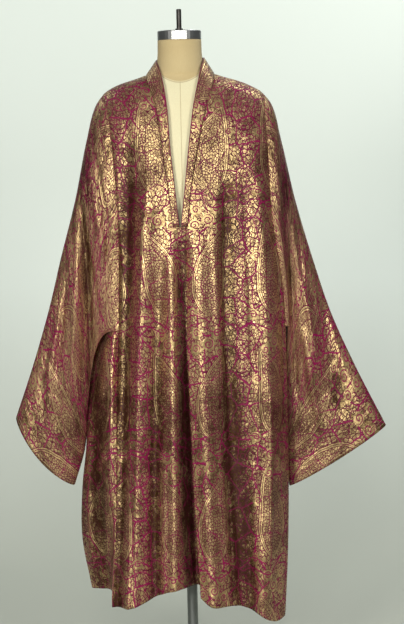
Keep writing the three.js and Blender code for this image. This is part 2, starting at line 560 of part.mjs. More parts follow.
// The neckband: its seam runs up one front, round the nape and down the other front
function bandGrid(leftFront, back, rightFront) {
  const seam = [];
  const edge = [];
  const take = (front, table, row) => {
    const p = front[row][0];
    seam.push(p);
    edge.push(point(...['x', 'y', 'z'].map((name) => readColumn(table, 'seam', name, p.z))));
  };
  for (let row = closingRow; row >= 0; row -= 1) take(leftFront, leftBandEdge, row);
  for (let c = 1; c < napeColumns; c += 1) {
    const p = back[0][ridgeColumns + c];
    const angle = Math.PI * c / napeColumns;
    const lift = Math.sin(angle);
    seam.push(p);
    edge.push(point(
      -napeEdge.halfWidth * Math.cos(angle),
      mix(leftBandEdge[0].y, napeEdge.depth, lift),
      mix(mix(leftBandEdge[0].z, rightBandEdge[0].z, c / napeColumns), napeEdge.z, lift),
    ));
  }
  for (let row = 0; row <= closingRow; row += 1) take(rightFront, rightBandEdge, row);
  return seam.map((p, i) => {
    const line = [];
    for (let c = 0; c <= bandColumns; c += 1) line.push(p.clone().lerp(edge[i], c / bandColumns));
    return line;
  });
}

// Outward normals of a grid. `flip` is -1 where rows x columns point inwards.
function gridNormals(grid, flip, closedLoop) {
  const rows = grid.length;
  const columns = grid[0].length;
  const wrap = (c) => {
    if (closedLoop) return (c + columns - 1) % (columns - 1);
    return Math.min(columns - 1, Math.max(0, c));
  };
  return grid.map((line, i) => line.map((_, j) => {
    const alongRows = grid[Math.min(rows - 1, i + 1)][j].clone().sub(grid[Math.max(0, i - 1)][j]);
    const alongColumns = grid[i][wrap(j + 1)].clone().sub(grid[i][wrap(j - 1)]);
    return alongRows.cross(alongColumns).multiplyScalar(flip).normalize();
  }));
}

// Where pieces meet, they share one normal, so that their edges stay parallel across the seam
function shareSeamNormals(pieces) {
  const meeting = new Map();
  for (const piece of pieces) {
    piece.grid.forEach((line, i) => line.forEach((p, j) => {
      const onEdge = i === 0 || j === 0 || i === piece.grid.length - 1 || j === line.length - 1;
      if (!onEdge) return;
      const onShoulderLine = i === 0 && p.y === 0;
      if (onShoulderLine) piece.normals[i][j].y = 0;
      const key = [p.x, p.y, p.z].map((v) => v.toFixed(2)).join(',');
      if (!meeting.has(key)) meeting.set(key, []);
      meeting.get(key).push(piece.normals[i][j]);
    }));
  }
  for (const normals of meeting.values()) {
    const mean = normals.reduce((sum, n) => sum.add(n), new THREE.Vector3());
    for (const n of normals) n.copy(mean).normalize();
  }
}

// Draws a seam edge back into its piece by half the gap
function drawBack(piece, edge) {
  const { grid, normals } = piece;
  const last = { row: grid.length - 1, column: grid[0].length - 1 };
  const along = edge === 'top' || edge === 'bottom';
  const fixed = edge === 'top' || edge === 'left' ? 0 : (along ? last.row : last.column);
  const next = fixed === 0 ? 1 : fixed - 1;
  const cell = (k, f) => (along ? grid[f][k] : grid[k][f]);
  const count = along ? last.column : last.row;
  const line = [];
  for (let k = 0; k <= count; k += 1) line.push(cell(k, fixed).clone());
  const loops = piece.closedLoop && along;
  const moves = line.map((p, k) => {
    const before = loops ? line[(k + count - 1) % count] : line[Math.max(0, k - 1)];
    const after = loops ? line[(k + 1) % count] : line[Math.min(count, k + 1)];
    const tangent = after.clone().sub(before).normalize();
    const normal = along ? normals[fixed][k] : normals[k][fixed];
    const across = tangent.cross(normal).normalize();
    const inwards = cell(k, next).clone().sub(p);
    return across.multiplyScalar(across.dot(inwards) < 0 ? -seamGap / 2 : seamGap / 2);
  });
  return { along, fixed, moves };
}
function openSeams(piece, edges) {
  const drawn = edges.map((edge) => drawBack(piece, edge));
  for (const { along, fixed, moves } of drawn) {
    moves.forEach((move, k) => (along ? piece.grid[fixed][k] : piece.grid[k][fixed]).add(move));
  }
}

// Closed wall: the outer grid, the inner grid one wall inwards, and strips along the free edges
function wallGeometry(piece, flip) {
  const { grid, normals, closedLoop } = piece;
  const rows = grid.length;
  const columns = grid[0].length;
  const positions = [];
  const indices = [];
  for (const depth of [0, clothWall]) {
    grid.forEach((line, i) => line.forEach((p, j) => {
      positions.push(...p.clone().addScaledVector(normals[i][j], -depth).toArray());
    }));
  }
  const outer = (i, j) => i * columns + j;
  const inner = (i, j) => rows * columns + i * columns + j;
  const quad = (a, b, c, d) => {
    if (flip > 0) indices.push(a, b, c, a, c, d);
    else indices.push(a, c, b, a, d, c);
  };
  for (let i = 0; i < rows - 1; i += 1) {
    for (let j = 0; j < columns - 1; j += 1) {
      quad(outer(i, j), outer(i + 1, j), outer(i + 1, j + 1), outer(i, j + 1));
      quad(inner(i, j), inner(i, j + 1), inner(i + 1, j + 1), inner(i + 1, j));
    }
    if (!closedLoop) {
      quad(outer(i, 0), inner(i, 0), inner(i + 1, 0), outer(i + 1, 0));
      const e = columns - 1;
      quad(outer(i, e), outer(i + 1, e), inner(i + 1, e), inner(i, e));
    }
  }
  for (let j = 0; j < columns - 1; j += 1) {
    quad(outer(0, j), outer(0, j + 1), inner(0, j + 1), inner(0, j));
    const e = rows - 1;
    quad(outer(e, j), inner(e, j), inner(e, j + 1), outer(e, j + 1));
  }
  const geometry = new THREE.BufferGeometry();
  geometry.setAttribute('position', new THREE.Float32BufferAttribute(positions, 3));
  geometry.setIndex(indices);
  return mergeVertices(geometry, 1e-4);
}

// The dress form's torso and neck: rings of points, closed at the top and bottom
function formGeometry() {
  const top = formRings[0].z;
  const foot = formRings[formRings.length - 1].z;
  const levels = formRings.map((ring) => ring.z);
  for (let i = 1; i < formSteps; i += 1) {
    const z = mix(formShoulderEnd, foot, i / formSteps);
    if (levels.every((level) => Math.abs(level - z) > formRingSpacing)) levels.push(z);
  }
  levels.sort((a, b) => b - a);
  const positions = [];
  for (const z of levels) {
    for (let i = 0; i < formSides; i += 1) {
      const angle = 2 * Math.PI * i / formSides;
      const square = readColumn(formRings, 'z', 'square', z);
      const depth = readColumn(formRings, 'z', Math.cos(angle) > 0 ? 'front' : 'rear', z);
      const half = readColumn(formRings, 'z', 'half', z);
      const bend = (v) => Math.sign(v) * Math.abs(v) ** (2 / square);
      positions.push(half * bend(Math.sin(angle)), -depth * bend(Math.cos(angle)), z);
    }
  }
  positions.push(0, 0, top, 0, 0, foot);
  const indices = [];
  const last = levels.length - 1;
  const topMiddle = levels.length * formSides;
  for (let i = 0; i < formSides; i += 1) {
    const j = (i + 1) % formSides;
    for (let k = 0; k < last; k += 1) {
      const a = k * formSides;
      const b = a + formSides;
      indices.push(a + i, b + i, b + j, a + i, b + j, a + j);
    }
    indices.push(topMiddle, i, j, topMiddle + 1, last * formSides + j, last * formSides + i);
  }
  const geometry = new THREE.BufferGeometry();
  geometry.setAttribute('position', new THREE.Float32BufferAttribute(positions, 3));
  geometry.setIndex(indices);
  return geometry;
}

// Round parts are turned about the vertical axis from a profile of [radius, height] corners
function turned(profile, sides = roundSides) {
  const geometry = new THREE.LatheGeometry(profile.map(([r, z]) => new THREE.Vector2(r, z)), sides);
  geometry.rotateX(Math.PI / 2);
  geometry.deleteAttribute('normal');
  geometry.deleteAttribute('uv');
  return mergeVertices(geometry, 1e-4);
}

function capGeometry() {
  const { radius, foot, top, bevel } = cap;
  return turned([[0, foot], [radius, foot], [radius, top - bevel], [radius - bevel, top], [0, top]]);
}
function finialGeometry() {
  const foot = cap.top + seamGap;
  const { radius, top, shoulderRadius, shoulderHeight, bevel } = finial;
  return turned([
    [0, foot], [shoulderRadius, foot], [shoulderRadius, foot + shoulderHeight],
    [radius, foot + shoulderHeight], [radius, top - bevel], [radius - bevel, top], [0, top],
  ], finialSides);
}
function poleGeometry() {
  return turned([[0, pole.foot], [pole.radius, pole.foot], [pole.radius, pole.top], [0, pole.top]]);
}
function baseGeometry() {
  return turned([
    [0, 0], [base.radius, 0], [base.radius, base.rim], [base.shoulderRadius, base.shoulder],
    [base.domeRadius, base.dome], [base.hubRadius, base.hubFoot],
    [base.hubTopRadius, base.hubTop], [0, base.hubTop],
  ]);
}

// Building the robe
const leftFront = frontGrid(-1);
const rightFront = frontGrid(1);
const back = backGrid();
const backLast = back[0].length - 1;
const edgeOf = (grid, column) => grid.map((line) => line[column]);
const armholePart = (edge) => edge.slice(0, upperLevels.length);
const leftSide = { front: edgeOf(leftFront, frontColumns), back: edgeOf(back, 0) };
const rightSide = { front: edgeOf(rightFront, frontColumns), back: edgeOf(back, backLast) };
const leftGoreGrid = goreGrid(leftGore, goreHemLeft, leftSide.front, leftSide.back);
const rightGoreGrid = goreGrid(rightGore, goreHemRight, rightSide.front, rightSide.back);
const leftSleeve = sleeveGrid(-1, armholePart(leftSide.front), leftGoreGrid[0],
  armholePart(leftSide.back));
const rightSleeve = sleeveGrid(1, armholePart(rightSide.front), rightGoreGrid[0],
  armholePart(rightSide.back));
const band = bandGrid(leftFront, back, rightFront);

const brocade = { color: 0x9a7a4a, roughness: 0.45, metalness: 0.35 };
const clothPieces = [
  { name: 'back', grid: back, flip: -1, seams: ['top', 'left', 'right'] },
  { name: 'front_left', grid: leftFront, flip: -1, seams: ['top', 'left', 'right'] },
  { name: 'front_right', grid: rightFront, flip: 1, seams: ['top', 'left', 'right'] },
  { name: 'side_gore_left', grid: leftGoreGrid, flip: -1, seams: ['top', 'left', 'right'] },
  { name: 'side_gore_right', grid: rightGoreGrid, flip: 1, seams: ['top', 'left', 'right'] },
  { name: 'sleeve_left', grid: leftSleeve, flip: 1, closedLoop: true, seams: ['top'] },
  { name: 'sleeve_right', grid: rightSleeve, flip: -1, closedLoop: true, seams: ['top'] },
  { name: 'neckband', grid: band, flip: -1, seams: ['left'] },
];

const group = new THREE.Group();
function addMesh(name, geometry, look) {
  const mesh = new THREE.Mesh(geometry, new THREE.MeshStandardMaterial(look));
  mesh.name = name;
  group.add(mesh);
}

for (const piece of clothPieces) {
  piece.normals = gridNormals(piece.grid, piece.flip, piece.closedLoop);
}
shareSeamNormals(clothPieces);
for (const piece of clothPieces) {
  piece.grid = piece.grid.map((line) => line.map((p) => p.clone()));
  openSeams(piece, piece.seams);
  addMesh(piece.name, wallGeometry(piece, piece.flip), brocade);
}

addMesh('form_bust', formGeometry(), { color: 0xe6d6b0, roughness: 0.85, metalness: 0 });
addMesh('neck_cap', capGeometry(), { color: 0xb9b9b4, roughness: 0.35, metalness: 1 });
addMesh('finial_rod', finialGeometry(), { color: 0x3c3a38, roughness: 0.4, metalness: 1 });
addMesh('stand_pole', poleGeometry(), { color: 0x6f7274, roughness: 0.35, metalness: 1 });
addMesh('stand_base', baseGeometry(), { color: 0x2c2d2f, roughness: 0.5, metalness: 0.6 });

export default group;
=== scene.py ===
"""Looks of the choga: a gold and crimson brocade robe on its linen dress form and steel stand."""
import math

import bpy
import numpy as np
from mathutils import Matrix, Vector


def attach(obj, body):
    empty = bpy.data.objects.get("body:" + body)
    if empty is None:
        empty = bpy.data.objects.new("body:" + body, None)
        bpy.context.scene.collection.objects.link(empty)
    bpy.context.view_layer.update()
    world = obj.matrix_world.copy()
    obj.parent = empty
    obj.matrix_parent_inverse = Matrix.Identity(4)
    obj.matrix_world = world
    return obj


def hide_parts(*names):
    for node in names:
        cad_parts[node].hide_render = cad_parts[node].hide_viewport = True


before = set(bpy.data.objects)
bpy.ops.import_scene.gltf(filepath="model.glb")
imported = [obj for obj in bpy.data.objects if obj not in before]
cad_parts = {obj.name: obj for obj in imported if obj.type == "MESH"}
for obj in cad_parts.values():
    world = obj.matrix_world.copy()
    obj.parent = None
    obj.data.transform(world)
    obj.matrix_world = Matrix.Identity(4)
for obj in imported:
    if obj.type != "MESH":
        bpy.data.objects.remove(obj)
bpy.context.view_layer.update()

MM = 0.001

# Driving sizes of the cloth, in millimetres, the same as the solids'
CLOTH_WALL = 2.0
SEAM_GAP = 0.3
NECK_POINT_Z = 1448
SHOULDER_POINT_Z = 1402
UNDERARM_Z = 845
OPENING_FOOT_Z = 1091
LAP_STEP = 2
LAP_EASING = 400
HEM_Z = 200
TOP_ROW_DROP = 2
LAP_COLUMN_PULL = 5
SIDE_CROWDING = 0.3
BACK_CROWDING = 0.1
GORE_HEM_RISE = 0.3
SLEEVE_FLATNESS = 0.75
UNDERARM_SLACK = 12
SLEEVE_FOLD_START = 0.12

# The cloth's ripples: how far each stands out for its length, and how many there are
RIPPLE_HEIGHT = 0.0016
RIPPLES = 16

# Where in the woven repeat a sleeve and the neckband begin
WEAVE_START = 60

# How finely the cloth is laid out
SHOULDER_ROWS = 8
ARMHOLE_ROWS = 104
SKIRT_ROWS = 150
FRONT_COLUMNS = 104
RIDGE_COLUMNS = 34
NAPE_COLUMNS = 64
GORE_COLUMNS = 48
SLEEVE_ROWS = 120
BAND_COLUMNS = 10


def table(names, *rows):
    """A short table: the names of its columns, then a row for each section or fold."""
    return {name: np.array([row[i] for row in rows], float) for i, name in enumerate(names.split())}


SECTIONS = table(
    "z front_left front_right rear_left rear_right front rear front_square rear_square",
    (1448, 82, 82, 82, 82, 58, 72, 1.70, 2.0),
    (1440, 104, 104, 104, 104, 62, 78, 1.75, 2.0),
    (1432, 131, 131, 131, 131, 67, 84, 1.80, 2.0),
    (1424, 153, 153, 153, 153, 72, 89, 1.85, 2.0),
    (1414, 172, 174, 172, 174, 77, 95, 1.95, 2.0),
    (1402, 187, 194, 187, 194, 83, 101, 2.00, 2.1),
    (1370, 206, 217, 206, 217, 96, 112, 2.10, 2.2),
    (1335, 214, 227, 214, 227, 105, 119, 2.20, 2.3),
    (1290, 212, 236, 212, 236, 113, 125, 2.30, 2.3),
    (1200, 202, 236, 202, 236, 124, 130, 2.40, 2.4),
    (1100, 192, 238, 192, 238, 132, 130, 2.40, 2.4),
    (1000, 188, 243, 188, 240, 136, 128, 2.40, 2.4),
    (845, 190, 246, 198, 240, 140, 124, 2.40, 2.4),
    (705, 208, 247, 260, 240, 142, 120, 2.40, 2.4),
    (575, 240, 247, 272, 236, 144, 118, 2.40, 2.4),
    (450, 273, 246, 276, 234, 147, 118, 2.40, 2.4),
    (330, 320, 242, 272, 232, 150, 118, 2.40, 2.4),
    (200, 369, 236, 258, 228, 153, 118, 2.40, 2.4),
)

# Where the fronts end at the middle (inner) and at the side (outer), and where the back ends
LEFT_INNER = table("z x", (1448, -82), (1430, -78), (1400, -66), (1363, -58), (1270, -46), (1177, -34),
                   (1091, -24))
RIGHT_INNER = table("z x", (1448, 82), (1430, 80), (1400, 69), (1363, 59), (1270, 38), (1177, 20),
                    (1091, 9))
LEFT_LAP = table("z x", (1091, 14), (650, 16), (200, 26))
RIGHT_LAP = table("z x", (1091, 5), (800, 3), (564, 7), (445, 10), (200, 20))
LEFT_OUTER = table("z x", (1402, -187), (1370, -175), (1335, -169), (1273, -163), (1156, -155),
                   (1038, -154), (845, -160), (705, -165), (450, -172), (330, -180), (200, -190))
RIGHT_OUTER = table("z x", (1402, 194), (1370, 198), (1241, 204), (1099, 211), (1004, 225), (909, 235),
                    (845, 238), (670, 240), (477, 238), (320, 232), (200, 223))
BACK_LEFT = table("z x", (1402, -187), (1370, -178), (1273, -166), (1038, -157), (845, -170), (705, -236),
                  (575, -250), (450, -254), (330, -250), (200, -232))
BACK_RIGHT = table("z x", (1402, 194), (1370, 198), (1241, 205), (1004, 222), (845, 230), (705, 224),
                   (450, 214), (200, 206))

# Hem heights across each piece
LEFT_HEM = table("x z", (-190, 194), (-142, 197), (-99, 213), (-52, 234), (0, 240), (26, 238))
RIGHT_HEM = table("x z", (20, 217), (44, 199), (105, 192), (155, 171), (201, 145), (223, 152))
BACK_HEM = table("x z", (-232, 208), (0, 207), (120, 190), (206, 174))

# Folds: the line each follows at its top, middle and foot, its half-widths to the left and right,
# and how far it stands out (negative for a trough) at its top and foot
FOLD_COLUMNS = "top x_top mid x_mid foot x_foot left right rise foot_rise"
LEFT_FOLDS = table(
    FOLD_COLUMNS,
    (1342, -126, 905, -134, 200, -172, 20, 20, -20, -24),
    (1317, -66, 844, -112, 200, -150, 22, 26, 14, 26),
    (1060, -52, 685, -74, 220, -86, 16, 18, -10, -18),
    (1177, -30, 731, -30, 230, -40, 18, 16, 8, 16),
    (1150, 0, 683, 2, 240, 12, 22, 90, -12, -44),
)
RIGHT_FOLDS = table(
    FOLD_COLUMNS,
    (1200, 30, 760, 38, 200, 50, 22, 22, 8, 22),
    (1280, 106, 846, 94, 200, 113, 15, 30, -16, -26),
    (1330, 166, 914, 193, 200, 168, 22, 22, 14, 18),
    (600, 134, 394, 138, 200, 141, 13, 13, -6, -14),
)
BACK_FOLDS = table(
    FOLD_COLUMNS,
    (1390, -6, 800, -18, 200, -10, 26, 30, -10, -30),
    (1340, -92, 780, -84, 200, -78, 26, 24, 12, 24),
    (1330, -140, 800, -136, 200, -146, 18, 22, -12, -20),
    (1350, 74, 790, 62, 200, 60, 24, 26, 12, 26),
    (1300, 128, 760, 126, 200, 122, 22, 22, -12, -24),
    (1280, 172, 760, 182, 200, 168, 20, 20, 10, 18),
)
LEFT_SLEEVE_FOLDS = table(
    FOLD_COLUMNS,
    (1330, -226, 1070, -196, 840, -186, 20, 18, 16, 10),
    (1110, -238, 830, -236, 560, -246, 18, 18, -14, -10),
    (1090, -268, 850, -270, 640, -290, 24, 20, 14, 8),
)
RIGHT_SLEEVE_FOLDS = table(
    FOLD_COLUMNS,
    (1240, 242, 1080, 244, 900, 250, 16, 16, -10, -8),
    (1180, 256, 947, 284, 640, 304, 22, 24, 16, 14),
    (960, 322, 790, 346, 600, 384, 24, 28, -8, -8),
)

# Smaller creases, which only this cloth has, in the same columns
LEFT_CREASES = table(
    FOLD_COLUMNS,
    (1120, -154, 900, -161, 600, -176, 8, 8, -12, -13),
    (1180, -98, 1010, -102, 700, -118, 10, 8, 2, 3),
    (640, -128, 420, -136, 200, -142, 7, 9, -5, -7),
    (560, -58, 400, -62, 200, -66, 9, 7, 3, 5),
    (1010, -4, 700, 4, 200, 12, 6, 8, -3, -6),
)
RIGHT_CREASES = table(
    FOLD_COLUMNS,
    (1060, 69, 800, 82, 480, 96, 7, 9, 3, 6),
    (560, 90, 400, 99, 200, 105, 5, 10, 6, 8),
    (1240, 140, 980, 150, 700, 158, 8, 9, -3, -4),
    (900, 160, 700, 168, 470, 160, 8, 6, 4, 4),
    (1200, 190, 1000, 216, 560, 222, 7, 7, -7, -9),
    (760, 198, 600, 196, 300, 187, 5, 6, 4, 5),
    (1090, 6, 980, 4, 760, 5, 5, 7, -5, -4),
)
GORE_CREASES = table(
    FOLD_COLUMNS,
    (842, -188, 740, -197, 610, -213, 12, 10, 18, 6),
    (640, -232, 470, -243, 250, -236, 8, 10, 7, 9),
    (560, -205, 400, -210, 220, -204, 7, 8, -5, -6),
)
BACK_CREASES = table(
    FOLD_COLUMNS,
    (1250, -40, 900, -48, 500, -44, 9, 7, 4, 5),
    (1180, 30, 850, 24, 420, 26, 7, 10, -4, -6),
    (1040, 96, 760, 92, 380, 92, 6, 8, -4, -6),
    (820, -190, 600, -200, 300, -196, 9, 9, 6, 8),
    (760, -218, 560, -226, 260, -214, 8, 7, -6, -7),
    (700, -112, 480, -110, 200, -108, 6, 8, 4, 7),
    (1100, 152, 760, 150, 420, 150, 6, 6, 4, 4),
)
LEFT_SLEEVE_CREASES = table(
    FOLD_COLUMNS,
    (1320, -246, 1127, -203, 900, -166, 8, 8, 9, 9),
    (1290, -208, 1143, -184, 960, -158, 6, 6, -14, -12),
    (1330, -206, 1167, -177, 1040, -150, 8, 7, 8, 7),
    (1060, -226, 954, -214, 850, -200, 5, 5, -8, -8),
    (1200, -268, 919, -250, 660, -268, 8, 9, 7, 6),
    (1060, -252, 900, -262, 700, -278, 7, 9, 6, 5),
    (1010, -276, 880, -292, 720, -318, 6, 8, -6, -6),
    (960, -290, 840, -312, 690, -345, 7, 9, 6, 5),
    (900, -296, 760, -318, 620, -344, 9, 12, 3, 4),
    (1240, -252, 1002, -231, 640, -236, 7, 9, -13, -17),
)
RIGHT_SLEEVE_CREASES = table(
    FOLD_COLUMNS,
    (1340, 226, 1240, 224, 1100, 228, 7, 6, 7, 4),
    (1200, 266, 1060, 272, 900, 286, 6, 7, -6, -5),
    (1160, 282, 1020, 296, 860, 322, 7, 6, 4, 6),
    (1040, 252, 860, 256, 640, 262, 6, 8, -9, -7),
    (990, 270, 880, 292, 760, 312, 6, 9, 5, 7),
    (860, 276, 740, 292, 580, 318, 8, 9, 6, 5),
    (960, 330, 840, 352, 700, 380, 7, 8, 5, 5),
    (800, 366, 700, 392, 620, 418, 10, 12, 3, 4),
)

# Side gores, from the front seam round to the back seam
GORE_COLUMN_NAMES = "z fold_x fold_y hollow_x hollow_y rim_x rim_y rear_x rear_y"
LEFT_GORE = table(
    GORE_COLUMN_NAMES,
    (845, -173, -72, -187, -42, -194, -4, -186, 38),
    (800, -177, -82, -198, -40, -218, 16, -208, 46),
    (760, -180, -90, -203, -46, -233, 22, -225, 48),
    (705, -182, -96, -208, -50, -242, 16, -236, 42),
    (640, -186, -100, -214, -52, -248, 4, -242, 34),
    (575, -190, -104, -218, -54, -245, -12, -242, 28),
    (450, -194, -108, -227, -60, -258, -24, -252, 26),
    (330, -193, -90, -226, -62, -261, -24, -253, 26),
    (200, -193, -62, -214, -42, -241, -15, -240, 28),
)
RIGHT_GORE = table(
    GORE_COLUMN_NAMES,
    (845, 235, -28, 231, -2, 229, 22, 229, 40),
    (790, 228, -28, 217, -2, 214, 24, 219, 44),
    (705, 226, -28, 213, 0, 209, 28, 216, 50),
    (575, 224, -28, 206, 4, 202, 32, 207, 50),
    (450, 225, -28, 208, 6, 203, 30, 206, 46),
    (330, 227, -28, 216, 8, 210, 30, 210, 45),
    (200, 225, -28, 222, 10, 216, 30, 213, 46),
)
GORE_HEM_LEFT = (228, 212)
GORE_HEM_RIGHT = (178, 178)

# Sleeves, along their length: upper outer edge, lower inner edge, half-depth and set-back
SLEEVE_COLUMNS = "along outer_x outer_z inner_x inner_z depth back"
LEFT_SLEEVE = table(
    SLEEVE_COLUMNS,
    (0, -187, 1402, -192, 845, 84, 0),
    (0.04, -204, 1376, -202, 845, 76, -2),
    (0.14, -226, 1298, -216, 832, 64, -10),
    (0.32, -257, 1156, -229, 782, 52, -14),
    (0.50, -295, 1018, -235, 715, 44, -14),
    (0.65, -326, 900, -242, 640, 38, -10),
    (0.82, -368, 766, -250, 558, 34, -4),
    (1, -414, 637, -277, 470, 30, 0),
)
RIGHT_SLEEVE = table(
    SLEEVE_COLUMNS,
    (0, 194, 1402, 230, 845, 60, 0),
    (0.04, 215, 1374, 237, 843, 62, 2),
    (0.14, 236, 1293, 239, 820, 58, 10),
    (0.32, 269, 1142, 235, 760, 50, 20),
    (0.50, 311, 992, 233, 690, 43, 22),
    (0.65, 350, 870, 232, 620, 38, 20),
    (0.82, 408, 736, 234, 540, 34, 16),
    (1, 477, 596, 241, 453, 30, 12),
)
CUFF_BOW_LEFT = 24
CUFF_BOW_RIGHT = 6
CUFF_BOW_OUT = 0.6
CUFF_BOW_DOWN = 0.8

# Free edge of the neckband, against the height of its seam
BAND_EDGE_COLUMNS = "seam x y z"
LEFT_BAND_EDGE = table(
    BAND_EDGE_COLUMNS,
    (1448, -57.5, 4, 1481), (1440, -56, -18, 1476), (1430, -51, -38, 1464), (1400, -42, -70, 1430),
    (1363, -34, -94, 1380), (1270, -27.5, -117.5, 1277), (1177, -18.5, -127, 1180), (1091, -10, -130, 1091),
)
RIGHT_BAND_EDGE = table(
    BAND_EDGE_COLUMNS,
    (1448, 58.5, 4, 1486), (1440, 57, -18, 1480), (1430, 52, -38, 1467), (1400, 43, -70, 1430),
    (1363, 32, -94, 1380), (1270, 17.5, -117.5, 1277), (1177, 6, -127, 1180), (1091, -5, -134, 1091),
)
# Painted shade on the gold at each height down the robe: how much darker (or, below 0, lighter) than
# elsewhere it is painted
PAINTED_HEIGHT_SHADE = table("z rubbed", (1448, -0.12), (1360, -0.06), (1280, 0.08), (1190, 0.06), (1080, -0.04),
             (980, -0.26), (850, -0.34), (740, -0.20), (680, 0.06), (560, 0.08), (450, -0.04), (200, -0.10))

# The neckband's free edge at the nape
NAPE_HALF_WIDTH = 58
NAPE_DEPTH = 65
NAPE_Z = 1490


def read(rows, name, at):
    """A smooth curve through one column of a table, read at values of its first column."""
    keys, values = next(iter(rows.values())), rows[name]
    if keys[0] > keys[-1]:
        keys, values = keys[::-1], values[::-1]
    slope = np.diff(values) / np.diff(keys)
    ends = np.concatenate(([slope[0]], (slope[1:] + slope[:-1]) / 2, [slope[-1]]))
    at = np.clip(at, keys[0], keys[-1])
    i = np.clip(np.searchsorted(keys, at, side="right") - 1, 0, len(keys) - 2)
    span = keys[i + 1] - keys[i]
    t = (at - keys[i]) / span
    return ((2 * t**3 - 3 * t**2 + 1) * values[i] + (t**3 - 2 * t**2 + t) * span * ends[i]
            + (3 * t**2 - 2 * t**3) * values[i + 1] + (t**3 - t**2) * span * ends[i + 1])


def mix(a, b, t):
    return a + (b - a) * t


def smooth_step(t):
    t = np.clip(t, 0, 1)
    return t**2 * (3 - 2 * t)


def fold_rise(folds, x, z):
    """How far the folds of a table stand out at places seen from the front."""
    total = np.zeros(np.broadcast(x, z).shape)
    for top, x_top, mid, x_mid, foot, x_foot, left, right, rise, foot_rise in zip(*folds.values()):
        down = (top - z) / (top - foot)
        reached = np.clip(down, 0, 1)
        middle = (top - mid) / (top - foot)
        line = (x_top * (reached - middle) * (reached - 1) / middle
                + x_mid * reached * (reached - 1) / (middle * (middle - 1))
                + x_foot * reached * (reached - middle) / (1 - middle))
        spread = np.where(x < line, left, right)
        ending = 1 if foot <= 240 else smooth_step((1 - down) / 0.2)
        height = mix(rise, foot_rise, reached) * smooth_step(down / 0.22) * ending
        total = total + height * np.exp(-(((x - line) / spread) ** 2))
    return total


def ripples(x, z, seed):
    """Small uneven waves of cloth that has been folded and worn, longer up the piece than across."""
    chance = np.random.default_rng(seed)
    bend = 9 * np.sin(z / 83 + seed) + 6 * np.sin(z / 37 + x / 61)
    total = np.zeros(np.broadcast(x, z).shape)
    for _ in range(RIPPLES):
        length = chance.uniform(22, 75)
        lean = chance.uniform(-1.1, 1.1)
        phase = chance.uniform(0, 2 * np.pi)
        swell = 0.6 + 0.4 * np.sin(z / chance.uniform(60, 140) + phase)
        total = total + length * swell * np.sin(2 * np.pi * ((x + bend) + lean * z) / length + phase)
    return total * RIPPLE_HEIGHT


def section_depth(facing, x, z):
    """Depth of the worn section at places, to the front or to the rear."""
    half = np.where(x < 0, read(SECTIONS, facing + "_left", z), read(SECTIONS, facing + "_right", z))
    square = read(SECTIONS, facing + "_square", z)
    ratio = np.minimum(1, np.abs(x) / half)
    return read(SECTIONS, facing, z) * (1 - ratio**square) ** (1 / square)


def shoulder_line_z(x):
    """Height of the shoulder line at a distance from the middle."""
    low = np.full(np.shape(x), float(SHOULDER_POINT_Z))
    high = np.full(np.shape(x), float(NECK_POINT_Z))
    for _ in range(40):
        z = (low + high) / 2
        half = np.where(x < 0, read(SECTIONS, "front_left", z), read(SECTIONS, "front_right", z))
        inside = half > np.abs(x)
        low, high = np.where(inside, z, low), np.where(inside, high, z)
    return (low + high) / 2


def inner_level(outer):
    """Rows drop from the neck point at the middle and from the shoulder point at the side."""
    rise = (outer - UNDERARM_Z) / (SHOULDER_POINT_Z - UNDERARM_Z)
    return np.where(outer <= UNDERARM_Z, outer, mix(UNDERARM_Z, NECK_POINT_Z, rise))


def outer_level(inner):
    return mix(UNDERARM_Z, SHOULDER_POINT_Z, (inner - UNDERARM_Z) / (NECK_POINT_Z - UNDERARM_Z))


def armhole_levels():
    """Heights of the rows at the armhole: finely over the shoulder's turn, then down to the underarm."""
    first = TOP_ROW_DROP * (np.arange(SHOULDER_ROWS + 1) / SHOULDER_ROWS) ** 2
    t = np.arange(1, ARMHOLE_ROWS + 1) / ARMHOLE_ROWS
    eased = mix(t, (1 - np.cos(np.pi * t)) / 2, 0.5)
    rest = mix(TOP_ROW_DROP, SHOULDER_POINT_Z - UNDERARM_Z, eased)
    levels = SHOULDER_POINT_Z - np.concatenate((first, rest))
    closing = outer_level(OPENING_FOOT_Z)
    nearest = int(np.argmin(np.abs(levels - closing)))
    levels[nearest] = closing
    return np.insert(levels, nearest + 1, outer_level(OPENING_FOOT_Z - LAP_STEP)), nearest


UPPER_LEVELS, CLOSING_ROW = armhole_levels()
SKIRT_LEVELS = mix(UNDERARM_Z, HEM_Z, np.arange(1, SKIRT_ROWS + 1) / SKIRT_ROWS)
BODY_LEVELS = np.concatenate((UPPER_LEVELS, SKIRT_LEVELS))
UNDERARM_ROW = len(UPPER_LEVELS) - 1


def stretch_to_hem(z, hem):
    """Below the underarm a nominal height is stretched so that the last row lies on the hem."""
    return np.where(z >= UNDERARM_Z, z, mix(UNDERARM_Z, hem, (UNDERARM_Z - z) / (UNDERARM_Z - HEM_Z)))


def settling(level):
    """How much of the shoulder's slope is left in a row: all at the top, none at the underarm."""
    drop = np.clip((SHOULDER_POINT_Z - level) / (SHOULDER_POINT_Z - UNDERARM_Z), 0, 1)
    return (1 - np.arccos(1 - 2 * drop) / np.pi) ** 3


def edge_calm(u):
    """Ripples die out at a piece's edges, where it meets its neighbours."""
    return smooth_step(u / 0.12) * smooth_step((1 - u) / 0.12)


